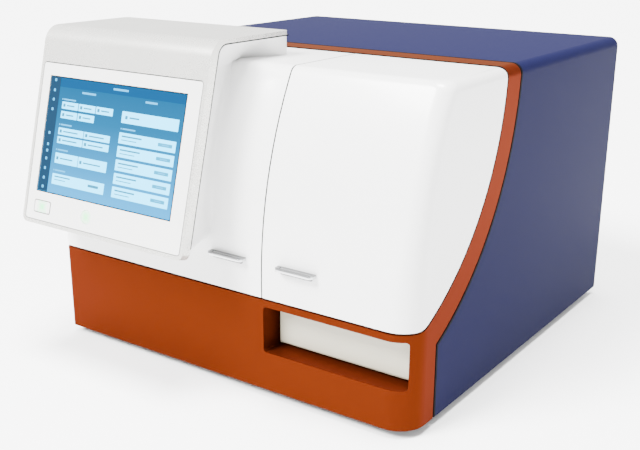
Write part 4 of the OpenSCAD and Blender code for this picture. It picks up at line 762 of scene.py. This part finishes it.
class READER_OT_case(Operator):
    """Front bezel, rear cover, base and the sheet metal behind the doors"""

    bl_idname = "reader.case"
    bl_label = "Case"

    @staticmethod
    def faces_the_door(middle, normal):
        """True for the inner rim of the hoop, which looks into the gap round the doors."""
        sizes = bpy.context.scene.reader_sizes
        spoke = hoop_spoke(middle)
        return (normal.dot(spoke.normalized()) < -FACING
                and spoke.length < sizes.hoop_radius + SLACK
                and middle.z > sizes.ledge_z + 2 * SLACK)

    @staticmethod
    def faces_the_hoop(middle, normal):
        """True for the front edge of the rear cover, which looks into the gap at the hoop."""
        sizes = bpy.context.scene.reader_sizes
        spoke = hoop_spoke(middle)
        arc = (normal.dot(spoke.normalized()) < -FACING
               and spoke.length < sizes.cover_radius + SLACK)
        foot = normal.y < -FACING and middle.y < sizes.cover_foot_y + SLACK
        return arc or foot

    def execute(self, context):
        soft = context.scene.reader_sizes.soft_edge
        # the hoop's inner rim and the cover's front edge get the dark finish, as painted shade
        # in the gaps
        paint_gap_shade(dress("front_bezel", "bezel_moulding", soft * 1.4), self.faces_the_door)
        paint_gap_shade(dress("rear_cover", "rear_cover_shell", soft), self.faces_the_hoop)
        dress_each(("base_plate", soft), ("rear_panel", 0), ("front_bulkhead", soft),
                   ("front_deck", soft), ("light_seal", 0), ("feet", soft * 2),
                   ("cover_screws", 0))
        return {"FINISHED"}


class READER_OT_doors(Operator):
    """The two lift-up doors with their hinges and handles"""

    bl_idname = "reader.doors"
    bl_label = "Doors"

    def execute(self, context):
        soft = context.scene.reader_sizes.soft_edge
        seam = context.scene.reader_sizes.seam_x
        for name, side in (("left_door", 1), ("right_door", -1)):
            # the door faces that look into the gap between the doors get the dark finish, as
            # painted shade
            paint_gap_shade(dress(name, name + "_moulding", soft * 1.5),
                 lambda middle, normal: (side * normal.x > FACING
                                         and abs(middle.x - seam) < SLACK))
        dress_each(("left_handle", soft), ("right_handle", soft), ("left_hinge_leaf", 0),
                   ("right_hinge_leaf", 0), ("hinge_rod", 0), ("hinge_brackets", soft),
                   ("door_magnets", soft))
        return {"FINISHED"}


class READER_OT_display(Operator):
    """Display housing, front panel, keys and the lit screen"""

    bl_idname = "reader.display"
    bl_label = "Display"

    def execute(self, context):
        sizes = context.scene.reader_sizes
        soft = sizes.soft_edge
        dress("display_housing", "display_cap", soft * 2)
        dress("bezel_panel", "display_panel", soft * 0.5)
        dress("lcd_module", "screen_module", 0)
        dress("display_board", "display_circuit", 0)
        dress("power_button", "power_key", soft * 0.6)
        dress("status_light", "status_lens", soft)
        dress("touch_screen", "screen_glass", 0)
        self.lines(sizes)
        self.boss_strip(sizes)
        self.screen(sizes)
        return {"FINISHED"}

    @staticmethod
    def lines(sizes):
        """Shadow lines round the front panel, the screen and the power key."""
        mesh = bmesh.new()
        grey, dark = 0, 1
        front, thick = -0.04 * MM, 0.03 * MM
        lo, hi = Vector(sizes.panel_lo), Vector(sizes.panel_hi)
        gap = Vector((0.35, 0.35)) * MM
        card(mesh, lo - gap, hi + gap, sizes.panel_corner, front, thick, grey, width=1.0 * MM)

        # the line above the panel is darker, and stops short of its rounded corners
        left = Vector((lo.x, hi.y)) + Vector((3.0, -0.45)) * MM
        right = hi + Vector((-3.0, 0.55)) * MM
        card(mesh, left, right, 0, front - thick, thick, dark)

        lo = Vector((sizes.screen_x, sizes.screen_v))
        hi = lo + Vector((sizes.screen_w, sizes.screen_h))
        gap = Vector((1.0, 1.0)) * MM
        card(mesh, lo - gap, hi + gap, 0, front - thick, thick, dark, width=1.4 * MM)

        middle, half = Vector((sizes.key_x, sizes.key_v)), Vector((15.0, 8.2)) * MM
        card(mesh, middle - half, middle + half, 2.6 * MM, front, thick, grey, width=1.5 * MM)

        bmesh.ops.transform(mesh, matrix=on_display(), verts=mesh.verts)
        piece = add_piece("panel_lines", mesh, "left_lid")
        for name in ("seam_grey", "seam_dark"):
            piece.data.materials.append(FINISHES[name].material)

    @staticmethod
    def boss_strip(sizes):
        """Dark strip where the left door's boss meets the display housing."""
        mesh = bmesh.new()
        tilt = sizes.tilt
        turn = math.radians(90) - tilt  # over the rolled edge, from the front to the level top
        radius = sizes.roll_radius - (sizes.boss_depth + sizes.display_top - sizes.boss_top) / 2
        inward, outward, lift = 0.6 * MM, 0.9 * MM, 0.03 * MM

        def front(height):
            """Place on Y of the boss's leaning front."""
            return (sizes.display_y + (height - sizes.display_z) * math.tan(tilt)
                    + sizes.boss_depth / math.cos(tilt))

        def pull(row, move):
            """Draws a row of edges along a straight line, and gives the row at its end."""
            grown = bmesh.ops.extrude_edge_only(mesh, edges=row)["geom"]
            ends = [part for part in grown if isinstance(part, bmesh.types.BMVert)]
            bmesh.ops.translate(mesh, verts=ends, vec=move)
            return [part for part in grown if isinstance(part, bmesh.types.BMEdge)
                    and all(vert in ends for vert in part.verts)]

        start = Vector((sizes.boss_side, front(sizes.boss_foot), sizes.boss_foot))
        roll = Vector((sizes.boss_side, front(sizes.boss_top) + radius * math.tan(turn / 2),
                       sizes.boss_top - radius))
        out = Vector((0, -math.cos(tilt), math.sin(tilt)))
        section = [mesh.verts.new(start + out * far + Vector((rise, 0, 0)))
                   for far, rise in ((-inward, 0), (-inward, lift), (outward, lift),
                                     (outward, 0))]
        row = [mesh.edges.new(pair) for pair in zip(section, section[1:])]
        row = pull(row, roll + out * radius - start)
        verts = list(dict.fromkeys(vert for edge in row for vert in edge.verts))
        spun = bmesh.ops.spin(mesh, geom=verts + row, cent=roll, axis=(-1, 0, 0), angle=turn,
                              steps=12, use_merge=False)["geom_last"]
        row = [part for part in spun if isinstance(part, bmesh.types.BMEdge)]
        pull(row, (0, sizes.boss_back - roll.y, 0))
        bmesh.ops.recalc_face_normals(mesh, faces=mesh.faces)
        shade(mesh)
        piece = add_piece("boss_dark_strip", mesh, "left_lid")
        piece.data.materials.append(FINISHES["seam_dark"].material)

    @staticmethod
    def screen(sizes):
        """Plain blocks of a generic user screen: bars, tiles, a column of entries and keys."""
        page = ScreenPage(sizes)
        page.block("bar", 0.6, 0.6, 18, 141.9, radius=0)
        page.block("band", 18, 0.6, 225.4, 11.5, radius=0)
        page.block("label", 110, 4.4, 135, 6.8, radius=0.4, layer=1)
        for x0, x1 in ((58, 82), (164, 183)):
            page.block("label", x0, 14.2, x1, 16.6, radius=0.4)
        for x0, y, x1 in ((27.5, 25.2, 49), (27.5, 56.2, 47), (27.5, 87.2, 46),
                          (27.5, 112.6, 46), (133, 48.9, 154)):
            page.heading(x0, y, x1)

        for row, count in ((0, 3), (1, 2)):
            for column in range(count):
                page.tile(25.3 + column * 30, 29 + row * 11.6, 28.6, 8.6)
        for row in range(2):
            for column in range(2):
                page.tile(24.6 + column * 45.6, 61 + row * 10.8, 44.4, 8.4)
        page.tile(24.8, 92, 40.4, 12.8)
        page.tile(66.2, 92, 49.2, 12.8)

        page.block("card", 24.2, 117.8, 115.6, 131, radius=0.5)
        for x0, y0, x1, y1, radius in ((28, 120.4, 56, 122, 0.3), (28, 124.6, 48, 125.6, 0.3),
                                       (88, 122.4, 106, 125.6, 0.6)):
            page.block("text", x0, y0, x1, y1, radius, layer=1)
        page.block("card", 129.4, 29.3, 219.4, 43, radius=0.5)
        page.block("text", 135, 34.2, 139, 38.2, radius=0.6, layer=1)
        page.block("text", 142, 35.2, 158, 37, layer=1)
        for row in range(5):
            page.entry(129.2, 54.2 + row * 16)
        for y in (4, 16.5, 28, 40, 69.4, 83.5, 91.5, 101.3, 113.4, 125.4, 136.6):
            page.block("label", 7.2, y - 1.7, 10.6, y + 1.7, radius=0.8, layer=1)
        page.finish()


class READER_OT_drawer(Operator):
    """Plate drawer with its carriage, rails and drive"""

    bl_idname = "reader.drawer"
    bl_label = "Drawer"

    def execute(self, context):
        soft = context.scene.reader_sizes.soft_edge
        dress_each(("drawer_front", soft), ("plate_carriage", soft * 0.8), ("runner_blocks", 0),
                   ("corner_pusher", soft * 0.5), ("carriage_rails", 0), ("drive_belt", 0),
                   ("drive_pulley", 0), ("idler_pulley", 0), ("drive_motor", soft),
                   ("idler_post", 0))
        return {"FINISHED"}


class READER_OT_inside(Operator):
    """Optics, injectors and electronics inside the case"""

    bl_idname = "reader.inside"
    bl_label = "Inside"

    def execute(self, context):
        width = context.scene.reader_sizes.soft_edge * 0.8
        dress_each(*((node, width) for node in (
            "read_chamber", "optics_bench", "optics_head", "filter_slide", "flash_lamp",
            "excitation_monochromator", "emission_monochromator", "detector", "injector_frame",
            "syringe_barrels", "left_plunger", "right_plunger", "bottle_holder",
            "reagent_bottles", "power_supply", "main_board")))
        return {"FINISHED"}


class READER_OT_rear(Operator):
    """Fan, inlet, switch and ports on the rear panel"""

    bl_idname = "reader.rear"
    bl_label = "Rear"

    def execute(self, context):
        soft = context.scene.reader_sizes.soft_edge
        dress_each(("fan_frame", soft), ("fan_rotor", 0), ("fan_guard", 0),
                   ("power_inlet", soft * 0.5), ("power_switch", soft * 0.6),
                   ("data_ports", 0))
        return {"FINISHED"}


STEPS = (READER_OT_stage, READER_OT_finishes, READER_OT_case, READER_OT_doors,
         READER_OT_display, READER_OT_drawer, READER_OT_inside, READER_OT_rear)


class READER_PT_panel(Panel):
    """Lists the steps that build the reader"""

    bl_idname = "READER_PT_panel"
    bl_label = "Microplate reader"
    bl_space_type = "VIEW_3D"
    bl_region_type = "UI"
    bl_category = "Reader"

    def draw(self, context):
        for step in STEPS:
            self.layout.operator(step.bl_idname)
        for group in ("reader_colours", "reader_sizes", "reader_studio"):
            settings = getattr(context.scene, group)
            for name in settings.__annotations__:
                self.layout.prop(settings, name)


GROUPS = {"reader_colours": ReaderColours, "reader_sizes": ReaderSizes,
          "reader_studio": ReaderStudio}


def register():
    """Adds the settings, the operators and the panel to Blender."""
    for item in (*GROUPS.values(), *STEPS, READER_PT_panel):
        bpy.utils.register_class(item)
    for name, group in GROUPS.items():
        setattr(bpy.types.Scene, name, PointerProperty(type=group))


def unregister():
    """Takes them away again."""
    for name in GROUPS:
        delattr(bpy.types.Scene, name)
    for item in reversed((*GROUPS.values(), *STEPS, READER_PT_panel)):
        bpy.utils.unregister_class(item)


def main():
    """Builds the reader step by step."""
    register()
    for step in STEPS:
        group, name = step.bl_idname.split(".")
        getattr(getattr(bpy.ops, group), name)()


if __name__ == "__main__":
    main()
